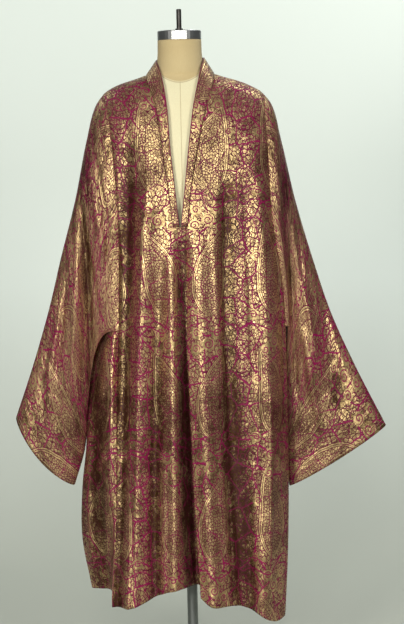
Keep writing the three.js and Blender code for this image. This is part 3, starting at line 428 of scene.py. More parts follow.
def front_grid(inner, lap, outer, folds, creases, hem, seed):
    """One front: rows from the shoulder line to the hem, columns from the middle to the side."""
    u = np.arange(FRONT_COLUMNS + 1) / FRONT_COLUMNS
    spaced = mix(u, np.sin(u * np.pi / 2), SIDE_CROWDING)
    neck_x, shoulder_x = inner["x"][0], outer["x"][0]
    grid, troughs = [], []
    for row, outer_z in enumerate(BODY_LEVELS):
        inner_z = float(inner_level(outer_z))
        closed = row > CLOSING_ROW
        x_inner = read(lap if closed else inner, "x", inner_z)
        easing = smooth_step((OPENING_FOOT_Z - inner_z) / LAP_EASING)
        x_eased = mix(inner["x"][-1], x_inner, easing) if closed else x_inner
        x_outer = read(outer, "x", outer_z)
        x = mix(x_eased, x_outer, spaced) + (x_inner - x_eased) * (1 - u) ** LAP_COLUMN_PULL
        to_side = (x - x_inner) / (x_outer - x_inner)
        straight = mix(NECK_POINT_Z, SHOULDER_POINT_Z, to_side)
        ridge = shoulder_line_z(mix(neck_x, shoulder_x, to_side))
        z = mix(inner_z, outer_z, to_side) + (ridge - straight) * settling(outer_z)
        rise = fold_rise(folds, x, z) + fold_rise(creases, x, z)
        waves = ripples(x, z, seed) * edge_calm(u) * smooth_step((SHOULDER_POINT_Z - outer_z) / 15)
        y = -section_depth("front", x, z) - rise - waves
        if row == 0:
            x = mix(x_inner, x_outer, u)
            y, z = np.zeros(len(u)), shoulder_line_z(x)
        grid.append(np.stack((x, y, stretch_to_hem(z, read(hem, "z", x))), axis=-1))
        troughs.append(rise)
    return np.array(grid), np.array(troughs)


def back_grid():
    """The back: columns from the left armhole, over the left shoulder line, round the nape to the right."""
    columns = 2 * RIDGE_COLUMNS + NAPE_COLUMNS
    nape = SECTIONS["rear_left"][0]
    c = np.arange(columns + 1)
    left_x, right_x = BACK_LEFT["x"][0], BACK_RIGHT["x"][0]
    start = np.where(c <= RIDGE_COLUMNS, mix(left_x, -nape, c / RIDGE_COLUMNS),
                     mix(nape, right_x, (c - RIDGE_COLUMNS - NAPE_COLUMNS) / RIDGE_COLUMNS))
    round_nape = (c > RIDGE_COLUMNS) & (c < RIDGE_COLUMNS + NAPE_COLUMNS)
    start = np.where(round_nape, -nape * np.cos(np.pi * (c - RIDGE_COLUMNS) / NAPE_COLUMNS), start)
    outermost = np.where(start < 0, left_x, right_x)
    top = np.where(round_nape, NECK_POINT_Z, shoulder_line_z(start))
    turn = np.pi * mix(BACK_CROWDING, 1 - BACK_CROWDING, c / columns)
    crowded = (1 - np.cos(turn) / np.cos(np.pi * BACK_CROWDING)) / 2
    grid, troughs = [], []
    for row, outer_z in enumerate(BODY_LEVELS):
        inner_z = float(inner_level(outer_z))
        x_left, x_right = read(BACK_LEFT, "x", outer_z), read(BACK_RIGHT, "x", outer_z)
        drop = np.clip((SHOULDER_POINT_Z - outer_z) / (SHOULDER_POINT_Z - UNDERARM_Z), 0, 1)
        spread = smooth_step(np.arccos(1 - 2 * drop) / np.pi / 0.64)
        scaled = start * np.where(start < 0, x_left, x_right) / outermost
        x = mix(scaled, mix(x_left, x_right, crowded), spread)
        to_side = np.where(x < 0, x / x_left, x / x_right)
        straight = mix(NECK_POINT_Z, SHOULDER_POINT_Z, start / outermost)
        z = mix(inner_z, outer_z, to_side) + (top - straight) * settling(outer_z)
        rise = fold_rise(BACK_FOLDS, x, z) + fold_rise(BACK_CREASES, x, z)
        y = section_depth("rear", x, z) + rise + ripples(x, z, 5) * edge_calm(c / columns) * spread
        if row == 0:
            x, z = start, top
            y = np.where(round_nape, section_depth("rear", start, top), 0)
        grid.append(np.stack((x, y, stretch_to_hem(z, read(BACK_HEM, "z", x))), axis=-1))
        troughs.append(rise)
    return np.array(grid), np.array(troughs)


def gore_grid(rows, hem, front_edge, back_edge, creases):
    """A side gore: its first and last columns are the edges of the front and back."""
    u = np.arange(GORE_COLUMNS + 1) / GORE_COLUMNS
    levels = np.concatenate(([UNDERARM_Z], SKIRT_LEVELS))
    grid, troughs = [], []
    for level, front, back in zip(levels, front_edge, back_edge):
        stations = {"u": np.arange(6) / 5}
        for axis, name in enumerate("xy"):
            between = [float(read(rows, f"{part}_{name}", level))
                       for part in ("fold", "hollow", "rim", "rear")]
            stations[name] = np.array([front[axis], *between, back[axis]])
        drop = stretch_to_hem(level, mix(hem[0], hem[1], u))
        z = mix(mix(front[2], back[2], u), drop, np.sin(np.pi * u).clip(0) ** GORE_HEM_RISE)
        x, y = read(stations, "x", u), read(stations, "y", u)
        crease = fold_rise(creases, x, z) * np.sin(np.pi * u) * (u < 0.62)
        grid.append(np.stack((x, y - crease, z), axis=-1))
        # Painted shade: the measure is deepened down the gore's middle beyond its creases, so its hollow is
        # painted darker
        troughs.append(crease - 14 * np.exp(-(((u - 0.42) / 0.16) ** 2)))
    grid = np.array(grid)
    grid[:, 0], grid[:, -1] = front_edge, back_edge
    return grid, np.array(troughs)


def sleeve_grid(edges, folds, creases, bow, side, seed, front_edge, gore_top, back_edge):
    """A sleeve: its first row is the armhole, down the front, under the arm and up the back."""
    loop = np.concatenate((front_edge, gore_top[1:-1], back_edge[::-1]))
    fronts, gores = len(front_edge) - 1, len(gore_top) - 1
    drop = np.clip((SHOULDER_POINT_Z - loop[:, 2]) / (SHOULDER_POINT_Z - UNDERARM_Z + UNDERARM_SLACK), 0, 1)
    angle = np.arccos(1 - 2 * drop)
    i = np.arange(len(loop))
    last_angle = angle[fronts]
    turn = np.where(i <= fronts, angle, 2 * np.pi - angle)
    under = (i > fronts) & (i < fronts + gores)
    turn = np.where(under, mix(last_angle, 2 * np.pi - last_angle, (i - fronts) / gores), turn)
    s = (1 - np.cos(turn)) / 2
    round_turn = np.sin(turn)
    flat = -np.sign(round_turn) * np.abs(round_turn) ** SLEEVE_FLATNESS
    start_x = mix(edges["outer_x"][0], edges["inner_x"][0], s)
    start_z = mix(edges["outer_z"][0], edges["inner_z"][0], s)
    grid, troughs = [loop], [np.zeros(len(loop))]
    for row in range(1, SLEEVE_ROWS + 1):
        along = (row / SLEEVE_ROWS) ** 1.15
        at = {name: float(read(edges, name, along)) for name in SLEEVE_COLUMNS.split()[1:]}
        hold = (1 - along) ** 3
        bowed = bow * np.sin(np.pi * s).clip(0) ** 0.7 * along**4
        x = mix(at["outer_x"], at["inner_x"], s) + (loop[:, 0] - start_x) * hold
        z = mix(at["outer_z"], at["inner_z"], s) + (loop[:, 2] - start_z) * hold
        x, z = x + side * bowed * CUFF_BOW_OUT, z - bowed * CUFF_BOW_DOWN
        rise = (fold_rise(folds, x, z) + fold_rise(creases, x, z)) * smooth_step(along / SLEEVE_FOLD_START)
        across = s * math.hypot(at["outer_x"] - at["inner_x"], at["outer_z"] - at["inner_z"])
        waves = ripples(across, x + z, seed) * smooth_step(along / SLEEVE_FOLD_START)
        y = mix(at["depth"] * flat + at["back"] + (rise + waves) * flat, loop[:, 1], (1 - along) ** 4)
        grid.append(np.stack((x, y, z), axis=-1))
        troughs.append(rise * np.abs(flat))
    return np.array(grid), np.array(troughs)


def band_grid(left_front, back, right_front):
    """The neckband: its seam runs up one front, round the nape and down the other front."""
    seam, edge = [], []

    def take(front, rows, row):
        p = front[row, 0]
        seam.append(p)
        edge.append([float(read(rows, name, p[2])) for name in "xyz"])

    for row in range(CLOSING_ROW, -1, -1):
        take(left_front, LEFT_BAND_EDGE, row)
    left_z, right_z = LEFT_BAND_EDGE["z"][0], RIGHT_BAND_EDGE["z"][0]
    for c in range(1, NAPE_COLUMNS):
        angle = np.pi * c / NAPE_COLUMNS
        lift = np.sin(angle)
        seam.append(back[0, RIDGE_COLUMNS + c])
        edge.append([-NAPE_HALF_WIDTH * np.cos(angle), mix(LEFT_BAND_EDGE["y"][0], NAPE_DEPTH, lift),
                     mix(mix(left_z, right_z, c / NAPE_COLUMNS), NAPE_Z, lift)])
    for row in range(CLOSING_ROW + 1):
        take(right_front, RIGHT_BAND_EDGE, row)
    t = (np.arange(BAND_COLUMNS + 1) / BAND_COLUMNS)[None, :, None]
    grid = mix(np.array(seam)[:, None, :], np.array(edge)[:, None, :], t)
    return grid, np.zeros(grid.shape[:2])


def grid_normals(grid, flip, closed_loop):
    """Outward normals. flip is -1 where rows x columns point inwards."""
    rows = np.gradient(grid, axis=0)
    if closed_loop:
        ring = grid[:, :-1]
        columns = np.roll(ring, -1, axis=1) - np.roll(ring, 1, axis=1)
        columns = np.concatenate((columns, columns[:, :1]), axis=1)
    else:
        columns = np.gradient(grid, axis=1)
    normals = np.cross(rows, columns) * flip
    return normals / np.maximum(np.linalg.norm(normals, axis=-1, keepdims=True), 1e-9)


def running(steps, axis):
    """Steps added up along an axis, from 0."""
    return np.insert(np.cumsum(steps, axis=axis), 0, 0, axis=axis)


def edge_places(grid):
    """Row and column numbers of a grid's edge points."""
    rows, columns = grid.shape[:2]
    for i in range(rows):
        for j in (range(columns) if i in (0, rows - 1) else (0, columns - 1)):
            yield i, j


def share_seam_normals(pieces):
    """Where pieces meet they share one normal, so that their edges stay parallel across the seam."""
    meeting = {}
    for piece in pieces:
        grid, normals = piece["grid"], piece["normals"]
        for i, j in edge_places(grid):
            if i == 0 and grid[i, j, 1] == 0:
                normals[i, j, 1] = 0
            meeting.setdefault(tuple(np.round(grid[i, j], 2)), []).append(normals[i, j])
    for normals in meeting.values():
        mean = np.sum(normals, axis=0)
        mean = mean / max(np.linalg.norm(mean), 1e-9)
        for normal in normals:
            normal[:] = mean


def open_seam(grid, edge):
    """Draws a seam edge back into its piece by half the gap."""
    line, beyond = {
        "top": (grid[0], grid[2]), "left": (grid[:, 0], grid[:, 2]), "right": (grid[:, -1], grid[:, -3]),
    }[edge]
    inwards = beyond - line
    tangent = np.gradient(line, axis=0)
    tangent = tangent / np.maximum(np.linalg.norm(tangent, axis=1, keepdims=True), 1e-9)
    inwards = inwards - tangent * np.sum(inwards * tangent, axis=1, keepdims=True)
    return inwards / np.maximum(np.linalg.norm(inwards, axis=1, keepdims=True), 1e-9) * SEAM_GAP / 2


def seam_dip(grid, seams, depth=1.0, reach=4.0):
    """How far the cloth rolls in beside its seams."""
    from_left = running(np.linalg.norm(np.diff(grid, axis=1), axis=2), 1)
    from_right = from_left[:, -1:] - from_left
    from_top = running(np.linalg.norm(np.diff(grid, axis=0), axis=2), 0)
    dip = np.zeros(grid.shape[:2])
    for seam, distance in (("left", from_left), ("right", from_right), ("top", from_top)):
        if seam in seams:
            dip = np.maximum(dip, depth * np.exp(-((distance / reach) ** 2)))
    return dip


def cloth_lengths(piece):
    """Lengths along the cloth, for the weave: u across and v up the piece, in millimetres."""
    grid = piece["grid"]
    step, drop = np.diff(grid, axis=1), np.diff(grid, axis=0)
    across = running(np.linalg.norm(step, axis=2), 1)
    down = np.broadcast_to(running(np.linalg.norm(drop, axis=2).mean(axis=1), 0)[:, None], across.shape)
    if piece["weave"] == "sleeve":
        half = across[:, -1:] / 2
        return down + WEAVE_START, np.abs(across - half) - half
    if piece["weave"] == "band":
        return across + WEAVE_START, down
    sign = np.sign(grid[-1, -1, 0] - grid[-1, 0, 0])
    u = running(np.hypot(step[..., 0], step[..., 1]) * sign, 1)
    anchor = slice(piece["anchor"], piece["anchor"] + 1)
    rise = np.hypot(drop[..., 1], drop[..., 2])[::-1]
    return u - u[:, anchor] + grid[:, anchor, 0], running(rise, 0)[::-1] + grid[-1, :, 2]


def cloth_mesh(piece):
    """A closed wall: the outer grid, the inner one a wall inwards, and strips that close the rims."""
    grid, normals, flip = piece["grid"], piece["normals"], piece["flip"]
    rows, columns = grid.shape[:2]
    u, v = cloth_lengths(piece)
    outer = grid - normals * seam_dip(grid, piece["seams"])[..., None]
    for seam in piece["seams"]:
        move = open_seam(grid, seam)
        if seam == "top":
            outer[0] += move
        else:
            outer[:, 0 if seam == "left" else -1] += move
    inner = outer - normals * CLOTH_WALL
    points = np.concatenate((outer.reshape(-1, 3), inner.reshape(-1, 3)))
    index = np.arange(rows * columns).reshape(rows, columns)
    if piece["closed_loop"]:
        index[:, -1] = index[:, 0]
    faces = [strip(index[:-1, :-1], index[1:, :-1], index[1:, 1:], index[:-1, 1:])]
    below = index + rows * columns
    faces.append(strip(below[:-1, :-1], below[:-1, 1:], below[1:, 1:], below[1:, :-1]))
    edges = [(index[0, :-1], index[0, 1:]), (index[-1, 1:], index[-1, :-1])]
    if not piece["closed_loop"]:
        edges += [(index[1:, 0], index[:-1, 0]), (index[:-1, -1], index[1:, -1])]
    for a, b in edges:
        faces.append(strip(a, b, b + rows * columns, a + rows * columns))
    quads = np.concatenate(faces)
    if flip < 0:
        quads = quads[:, ::-1]
    wall = len(faces[0])
    inner_faces = np.zeros(len(quads), int)
    inner_faces[wall:2 * wall] = 1
    mesh = bpy.data.meshes.new(piece["name"])
    mesh.from_pydata((points * MM).tolist(), [], quads.tolist())
    uv = mesh.uv_layers.new(name="weave")
    lengths = np.stack((np.tile(u.ravel(), 2), np.tile(v.ravel(), 2)), axis=-1) * MM
    corner = np.zeros(len(mesh.loops), int)
    mesh.loops.foreach_get("vertex_index", corner)
    uv.data.foreach_set("uv", lengths[corner].ravel())
    # The mesh carries the folds' rise, for painted shade in the creases, and the painted shade on the gold
    # by height
    measures = {"trough": np.tile(piece["trough"].ravel(), 2), "wear": read(PAINTED_HEIGHT_SHADE, "rubbed", points[:, 2])}
    for name, values in measures.items():
        mesh.attributes.new(name, "FLOAT", "POINT").data.foreach_set("value", values)
    mesh.polygons.foreach_set("material_index", inner_faces)
    mesh.polygons.foreach_set("use_smooth", np.ones(len(quads), bool))
    return mesh


def strip(a, b, c, d):
    """Quads from four arrays of corners."""
    return np.stack((a.ravel(), b.ravel(), c.ravel(), d.ravel()), axis=-1)


def show(name, mesh, *materials):
    """Puts a finished mesh in the scene."""
    item = bpy.data.objects.new(name, mesh)
    bpy.context.scene.collection.objects.link(item)
    for material in materials:
        item.data.materials.append(material)
    return item


class Wire:
    """A number socket used in sums: each operator adds one Math node."""

    def __init__(self, shader, socket):
        self.shader, self.socket = shader, socket

    def _with(self, operation, *values):
        return self.shader.math(operation, self, *values)

    def __add__(self, other):
        return self._with("ADD", other)

    def __sub__(self, other):
        return self._with("SUBTRACT", other)

    def __rsub__(self, other):
        return self.shader.math("SUBTRACT", other, self)

    def __mul__(self, other):
        return self._with("MULTIPLY", other)

    def __truediv__(self, other):
        return self._with("DIVIDE", other)

    def __rtruediv__(self, other):
        return self.shader.math("DIVIDE", other, self)

    def __pow__(self, other):
        return self._with("POWER", other)

    def __abs__(self):
        return self._with("ABSOLUTE")

    __radd__, __rmul__ = __add__, __mul__

    def above(self, limit):
        return self._with("GREATER_THAN", limit)

    def below(self, limit):
        return self._with("LESS_THAN", limit)

    def at_least(self, other):
        return self._with("MAXIMUM", other)

    def at_most(self, other):
        return self._with("MINIMUM", other)

    def sine(self):
        return self._with("SINE")

    def part(self):
        """What is left after the whole number."""
        return self._with("FRACT")

    def folded(self, length):
        """Runs up to a length and back again."""
        return self._with("PINGPONG", length)

    def repeated(self, length):
        return self._with("FLOORED_MODULO", length)

    def clipped(self):
        return self.at_least(0).at_most(1)


class Nodes:
    """A node tree being made."""

    def __init__(self, tree):
        self.tree = tree
        self.tree.nodes.clear()

    def node(self, kind, settings=None, **inputs):
        """Adds a node: its settings first, then the values or links of its sockets."""
        node = self.tree.nodes.new(kind)
        for name, value in (settings or {}).items():
            if name == "stops":
                ramp = node.color_ramp
                while len(ramp.elements) < len(value):
                    ramp.elements.new(0.5)
                for element, (place, colour) in zip(ramp.elements, value):
                    element.position, element.color = place, colour
            else:
                setattr(node, name, value)
        for name, value in inputs.items():
            place = int(name[1:]) if name[0] == "_" else name.replace("_", " ")
            self.put(value, node.inputs[place])
        return node

    def put(self, value, socket):
        if isinstance(value, Wire):
            value = value.socket
        if isinstance(value, bpy.types.NodeSocket):
            self.tree.links.new(value, socket)
        else:
            socket.default_value = value


class Shader(Nodes):
    """A material being made."""

    def __init__(self, name):
        self.material = bpy.data.materials.new(name)
        self.material.use_nodes = True
        super().__init__(self.material.node_tree)

    def math(self, operation, *values):
        numbered = {f"_{i}": value for i, value in enumerate(values)}
        return Wire(self, self.node("ShaderNodeMath", {"operation": operation}, **numbered).outputs[0])

    def mix_colour(self, factor, a, b, how="MIX"):
        settings = {"data_type": "RGBA", "blend_type": how}
        return self.node("ShaderNodeMix", settings, _0=factor, _6=a, _7=b).outputs[2]

    def noise(self, vector, scale, detail=2.0):
        node = self.node("ShaderNodeTexNoise", None, Vector=vector, Scale=scale, Detail=detail)
        return Wire(self, node.outputs["Fac"])

    def split(self, vector):
        node = self.node("ShaderNodeSeparateXYZ", None, Vector=vector)
        return tuple(Wire(self, output) for output in node.outputs)

    def object_place(self):
        """A place on the piece, in metres."""
        return self.node("ShaderNodeTexCoord").outputs["Object"]

    def weave_place(self):
        """Lengths across and up the cloth, in millimetres."""
        u, v, _ = self.split(self.node("ShaderNodeUVMap", {"uv_map": "weave"}).outputs[0])
        return u * 1000, v * 1000

    def measure(self, name):
        """A measure that the cloth's mesh carries."""
        return Wire(self, self.node("ShaderNodeAttribute", {"attribute_name": name}).outputs["Fac"])

    def vector(self, x, y, z=0.0):
        return self.node("ShaderNodeCombineXYZ", None, X=x, Y=y, Z=z).outputs[0]

    def eased(self, value, low, high, start=0.0, end=1.0):
        """Runs smoothly from start to end while a value runs from low to high."""
        ends = {"From Min": low, "From Max": high, "To Min": start, "To Max": end}
        node = self.node("ShaderNodeMapRange", {"interpolation_type": "SMOOTHSTEP"}, Value=value, **ends)
        return Wire(self, node.outputs[0])

    def line(self, distance, width):
        """1 on a line where the distance is 0, fading at half its width."""
        return self.eased(abs(distance), width * 0.25, width * 0.75, 1.0, 0.0)

    def bump(self, height, distance, strength=1.0):
        node = self.node("ShaderNodeBump", None, Height=height, Distance=distance, Strength=strength)
        return node.outputs[0]

    def surface(self, **inputs):
        """The shader itself, and the end of the tree."""
        shader = self.node("ShaderNodeBsdfPrincipled", None, **inputs)
        out = self.node("ShaderNodeOutputMaterial")
        self.tree.links.new(shader.outputs[0], out.inputs[0])
        return self.material


def colour(red, green, blue):
    """A colour as seen on a screen, 0 to 255, made linear."""
    def linear(v):
        v = v / 255
        return v / 12.92 if v <= 0.04045 else ((v + 0.055) / 1.055) ** 2.4
    return (linear(red), linear(green), linear(blue), 1.0)


GOLD = colour(232, 203, 146)
GOLD_SHADE = colour(78, 55, 29)
CRIMSON = colour(142, 10, 78)
CRIMSON_SHADE = colour(62, 19, 22)

# The woven repeat, in millimetres: it is mirrored from column to column
REPEAT_WIDTH = 148.0
REPEAT_HEIGHT = 290.0
CELL_CHANCE = 0.92


def radius(s, x, y, centre_x, centre_y):
    """Distance of a place from a centre."""
    across, up = x - centre_x, y - centre_y
    return s.math("SQRT", across * across + up * up)


def curl(s, x, y, centre_x, centre_y, reach, pitch, turn):
    """A tendril's curl: a spiral line inside a round reach, and the open gold that it lies on."""
    distance = radius(s, x, y, centre_x, centre_y)
    angle = s.math("ARCTAN2", y - centre_y, x - centre_x)
    wound = (distance / pitch + angle * (turn / (2 * math.pi))).part() - 0.5
    return s.line(wound * pitch, 2.4) * distance.below(reach), distance.below(reach + 3)


def cells(s, x, y, size, tall, feature):
    """The node of an uneven net of closed cells of a size, taller or lower than wide."""
    return s.node("ShaderNodeTexVoronoi", {"voronoi_dimensions": "2D", "feature": feature},
                  Vector=s.vector(x, y * tall), Scale=1 / size, Randomness=CELL_CHANCE)


def cell_lines(s, x, y, size, width, tall):
    """The lines between the cells."""
    edges = cells(s, x, y, size, tall, "DISTANCE_TO_EDGE")
    return s.line(Wire(s, edges.outputs["Distance"]) * size, width)


def cell_tones(s, x, y, size, tall):
    """A chance tone for each cell."""
    colours = cells(s, x, y, size, tall, "F1").outputs["Color"]
    return Wire(s, s.node("ShaderNodeSeparateColor", None, Color=colours).outputs[0])


# Curls of the tendrils in one repeat: where each is, its reach, pitch and sense of winding
CURLS = table("x y reach pitch turn", (80, 262, 12, 7.4, 1), (58, 237, 13, 7.4, -1), (30, 262, 10, 7, 1),
              (88, 219, 9, 6.6, -1), (26, 226, 11, 7, 1), (112, 150, 9, 6.6, 1), (20, 20, 9, 6.6, -1),
              (118, 12, 10, 7, 1))


def paisley(s, u, v):
    """The woven design: bold crimson lines, fine ones, the tone of each gold cell and the pale bands."""
    x = u.folded(REPEAT_WIDTH)
    y = v.repeated(REPEAT_HEIGHT)
    far = REPEAT_WIDTH - x
    place = s.vector(u, v)
    sway_u = u + (s.noise(place, 1 / 24.0, 1.0) - 0.5) * 6
    sway_v = v + (s.noise(s.vector(v, u), 1 / 24.0, 1.0) - 0.5) * 6

    # The boteh: a drop with a leaning tip, edged with double gold bands
    foot, height, half = 14.0, 204.0, 45.0
    t = ((y - foot) / height).clipped()
    spine = 66.0 + t * t * t * 44.0 - t * 10.0
    width = (t ** 0.5) * ((1 - t) ** 0.8) * (half / 0.42)
    out = abs(x - spine) - width
    here = t.above(0.001) * t.below(0.999)
    boteh = out.below(0) * here
    heart_x, heart_y = 62.0, 72.0
    heart = radius(s, x, y, heart_x, heart_y)
    petals = (s.math("ARCTAN2", y - heart_y, x - heart_x) * 6).sine() * 2.5
    boteh_lines = s.line(out, 2.2) + s.line(out + 5, 1.4) + s.line(out + 9.5, 1.6) + s.line(out + 24, 1.4)
    boteh_lines = boteh_lines * here * out.below(4)
    heart_lines = s.line(heart - 17 - petals, 1.7) + s.line(heart - 9, 1.6) + heart.below(2.2)

    # The arch on the far axis, drawn down to a point under its round head
    arch_height = 232.0
    drop = y - arch_height
    stretch = drop.above(0) * 0.5 + 0.5
    head = radius(s, far, drop * stretch, 0, 0)
    arch_lines = s.line(head - 39, 1.5) + s.line(head - 34, 1.2) + s.line(head - 17, 1.3)

    # A wavy stem with florets up each axis
    beat = y.repeated(19.0) - 9.5
    floret = radius(s, far, beat, 0, 0)
    wave = (y * (2 * math.pi / 38)).sine() * 5
    stems = s.line(floret - 6, 1.6) + s.line(far - 11 - wave, 1.7) + s.line(x - 9 - wave, 1.7)
    swag = (x * (3 * math.pi / REPEAT_WIDTH)).sine() * 9
    peak = 1 / ((x - 48.0) * (x - 48.0) * 0.02 + 1) * 22
    swags = s.line(y - 6 - swag, 2.4) + s.line(y - 272 - swag - peak, 2.8)
    vines = cell_lines(s, sway_u, sway_v, 46.0, 2.5, 0.75)
    vines = vines + cell_lines(s, sway_v, sway_u, 27.0, 1.3, 1.2) * 0.7

    # Curling tendrils on open gold
    curls, open_gold = 0, 0
    for centre_x, centre_y, reach, pitch, turn in zip(*CURLS.values()):
        drawn, ground = curl(s, x, y, centre_x, centre_y, reach, pitch, turn)
        curls = drawn + curls
        open_gold = ground + open_gold
    open_gold = open_gold.clipped()

    # Fine filling, which stops at the gold bands
    bands = ((s.line(out + 2.5, 3.4) + s.line(out + 7.2, 3.2)) * here).clipped()
    inside = boteh.at_most(1)
    small, small_tone = cell_lines(s, u, v, 6.0, 1.5, 0.85), cell_tones(s, u, v, 6.0, 0.85)
    broad = cell_lines(s, sway_u, sway_v, 8.0, 1.5, 0.7)
    broad_tone = cell_tones(s, sway_u, sway_v, 8.0, 0.7)
    scrolls = s.line((s.noise(s.vector(u, v * 0.8), 1 / 11.0, 0.0) - 0.56) * 24, 1.3)
    broad = (broad + scrolls).clipped()
    fine = (small * inside + broad * (1 - inside) * (1 - open_gold)) * (1 - bands)
    tone = small_tone * inside + broad_tone * (1 - inside)
    bold = (swags + stems * 0.7) * (1 - inside) + vines * (1 - open_gold) * (1 - inside * 0.55) + curls
    fine = fine + boteh_lines + heart_lines * boteh + arch_lines
    return bold.clipped(), fine.clipped(), tone, bands


def brocade():
    """Gold weft over a crimson ground, with a satin glint, and painted shade in the folds' troughs and by
    height.
    """
    s = Shader("brocade")
    u, v = s.weave_place()
    place = s.vector(u, v)
    crossed = s.vector(v, u)
    wander_u, wander_v = ((s.noise(at, 1 / 60.0) - 0.5) * 11 for at in (place, crossed))
    ragged_u, ragged_v = ((s.noise(at, 1 / 3.2, 1.0) - 0.5) * 2.3 for at in (place, crossed))
    bold, fine, tone, pale = paisley(s, u + wander_u + ragged_u, v + wander_v + ragged_v)
    warp = s.noise(s.vector(u, v * 0.09), 1 / 1.7, 2.0)
    flecks = s.noise(s.vector(u, v * 0.7), 1 / 3.0, 1.0)
    worn = s.noise(place, 1 / 60.0, 3.0)
    # Painted shade: deep darkens the cloth in the troughs of its folds and creases
    deep = (s.measure("trough") * (-1 / 17.0)).clipped()
    # dull mixes random worn patches with the painted shade in the creases and the painted shade by height;
    # where it is high the gold darkens and more crimson shows
    dull = ((worn - 0.5) * 2.0 + deep * 0.6 + s.measure("wear") * 1.6 + 0.28).clipped()
    shows = fine * 0.72 + bold + (warp - 0.5) * (dull * 0.9 + 0.3) + (flecks - 0.5) * 0.3 - 0.03
    ground = s.eased(shows, 0.28, 0.60)
    # The gold's tone: lighter per cell, in flecks and in the pale bands, darker with dull and deep, which
    # carry painted shade
    glow = (tone * 0.35 + (flecks - 0.5) * 0.8 + pale * 0.15 - dull * 0.65 - deep * 0.15 + 0.53).clipped()
    gold = s.mix_colour(glow, GOLD_SHADE, GOLD)
    # The crimson: bright on the bold lines, darker on the fine lines as painted shade between the raised
    # gold, and darker where dull and in the troughs as painted shade
    bright = (bold * 0.7 + (1 - dull) * 0.4 - deep * 0.4).clipped()
    crimson = s.mix_colour(bright, CRIMSON_SHADE, CRIMSON)
    crinkle = s.noise(s.vector(u, v * 0.6), 1 / 9.0, 2.0)
    crumple = s.noise(s.vector(u, v * 0.7), 1 / 34.0, 2.0)
    height = tone * (1 - ground) * 0.3 + flecks * 0.3 + crinkle * 1.1 + crumple * 3.4
    return s.surface(**{
        "Base Color": s.mix_colour(ground, gold, crimson),
        "Metallic": (1 - ground) * 0.78,
        "Roughness": ground * 0.14 + 0.40 + (warp - 0.5) * 0.15,
        "Specular IOR Level": 0.25,
        "Normal": s.bump(height, 0.001, 1.0),
    })


def brocade_reverse():
    """The robe's inside: the same cloth's back, where the crimson floats cover most of the gold."""
    s = Shader("brocade_reverse")
    u, v = s.weave_place()
    threads = s.noise(s.vector(u, v * 0.05), 1 / 1.6, 2.0)
    cell = s.node("ShaderNodeTexVoronoi", {"feature": "DISTANCE_TO_EDGE"}, Vector=s.vector(u, v),
                  Scale=1 / 7.0)
    glint = s.line(Wire(s, cell.outputs["Distance"]) * 7.0, 2.0)
    mixed = (glint * 0.55 + (threads - 0.5)).clipped()
    return s.surface(**{
        "Base Color": s.mix_colour(mixed, colour(96, 26, 48), colour(150, 112, 66)),
        "Roughness": 0.6 - mixed * 0.15,
        "Sheen Weight": 0.1,
        "Normal": s.bump(threads, 0.0004, 0.7),
    })


def silk(name, tone):
    """Plain twisted silk, for the piping and the threads."""
    s = Shader(name)
    place = s.object_place()
    grain = s.noise(place, 900.0, 2.0)
    soiled = s.noise(place, 30.0, 3.0)
    dark = tuple(c * 0.5 for c in tone[:3]) + (1.0,)
    return s.surface(**{
        "Base Color": s.mix_colour(grain * 0.5 + soiled * 0.4, tone, dark),
        "Roughness": grain * 0.2 + 0.4,
        "Sheen Weight": 0.2,
        "Normal": s.bump(grain, 0.0003, 0.6),
    })


def linen():
    """Fine unbleached linen, darker on the neck, with a plain weave and sewn joins."""
    s = Shader("linen")
    place = s.object_place()
    x, y, z = s.split(place)
    warp = (x * (2 * math.pi / 0.0011)).sine()
    weft = (z * (2 * math.pi / 0.0011)).sine()
    slub = s.noise(s.vector(x, y, z * 0.2), 700.0, 2.0)
    aged = s.noise(place, 9.0, 4.0)
    neck_line = z - x * x * 8.4 - 1.428
    neck = (neck_line / 0.004).clipped()
    join = (s.line(x, 0.0016) * (1 - neck) + s.line(neck_line, 0.0022)).clipped()
    cream = s.mix_colour(aged * 0.5, colour(255, 252, 214), colour(250, 236, 186))
    tan = s.mix_colour(aged, colour(226, 208, 160), colour(198, 174, 122))
    tone = s.mix_colour(neck, cream, tan)
    tone = s.mix_colour((slub * 0.22 + join * 0.45).clipped(), tone, colour(176, 150, 102))
    return s.surface(**{
        "Base Color": tone,
        "Roughness": slub * 0.1 + 0.78,
        "Sheen Weight": 0.08,
        "Normal": s.bump(warp * weft * 0.4 + slub - join * 2.5, 0.0003, 0.6),
    })


def metal(name, tone, roughness, turned):
    """Bare metal with fine marks, either round the piece (turned) or along it."""
    s = Shader(name)
    place = s.object_place()
    x, y, z = s.split(place)
    stretched = s.vector(x * 12, y * 12, z * 900) if turned else s.vector(x * 700, y * 700, z * 6)
    marks = s.noise(stretched, 1.0, 3.0)
    stain = s.noise(place, 22.0, 4.0)
    dull = tuple(c * 0.62 for c in tone[:3]) + (1.0,)
    return s.surface(**{
        "Base Color": s.mix_colour(stain * 0.7, tone, dull),
        "Metallic": 1.0,
        "Roughness": marks * 0.14 + stain * 0.14 + roughness,
        "Normal": s.bump(marks, 0.0002, 0.35),
    })


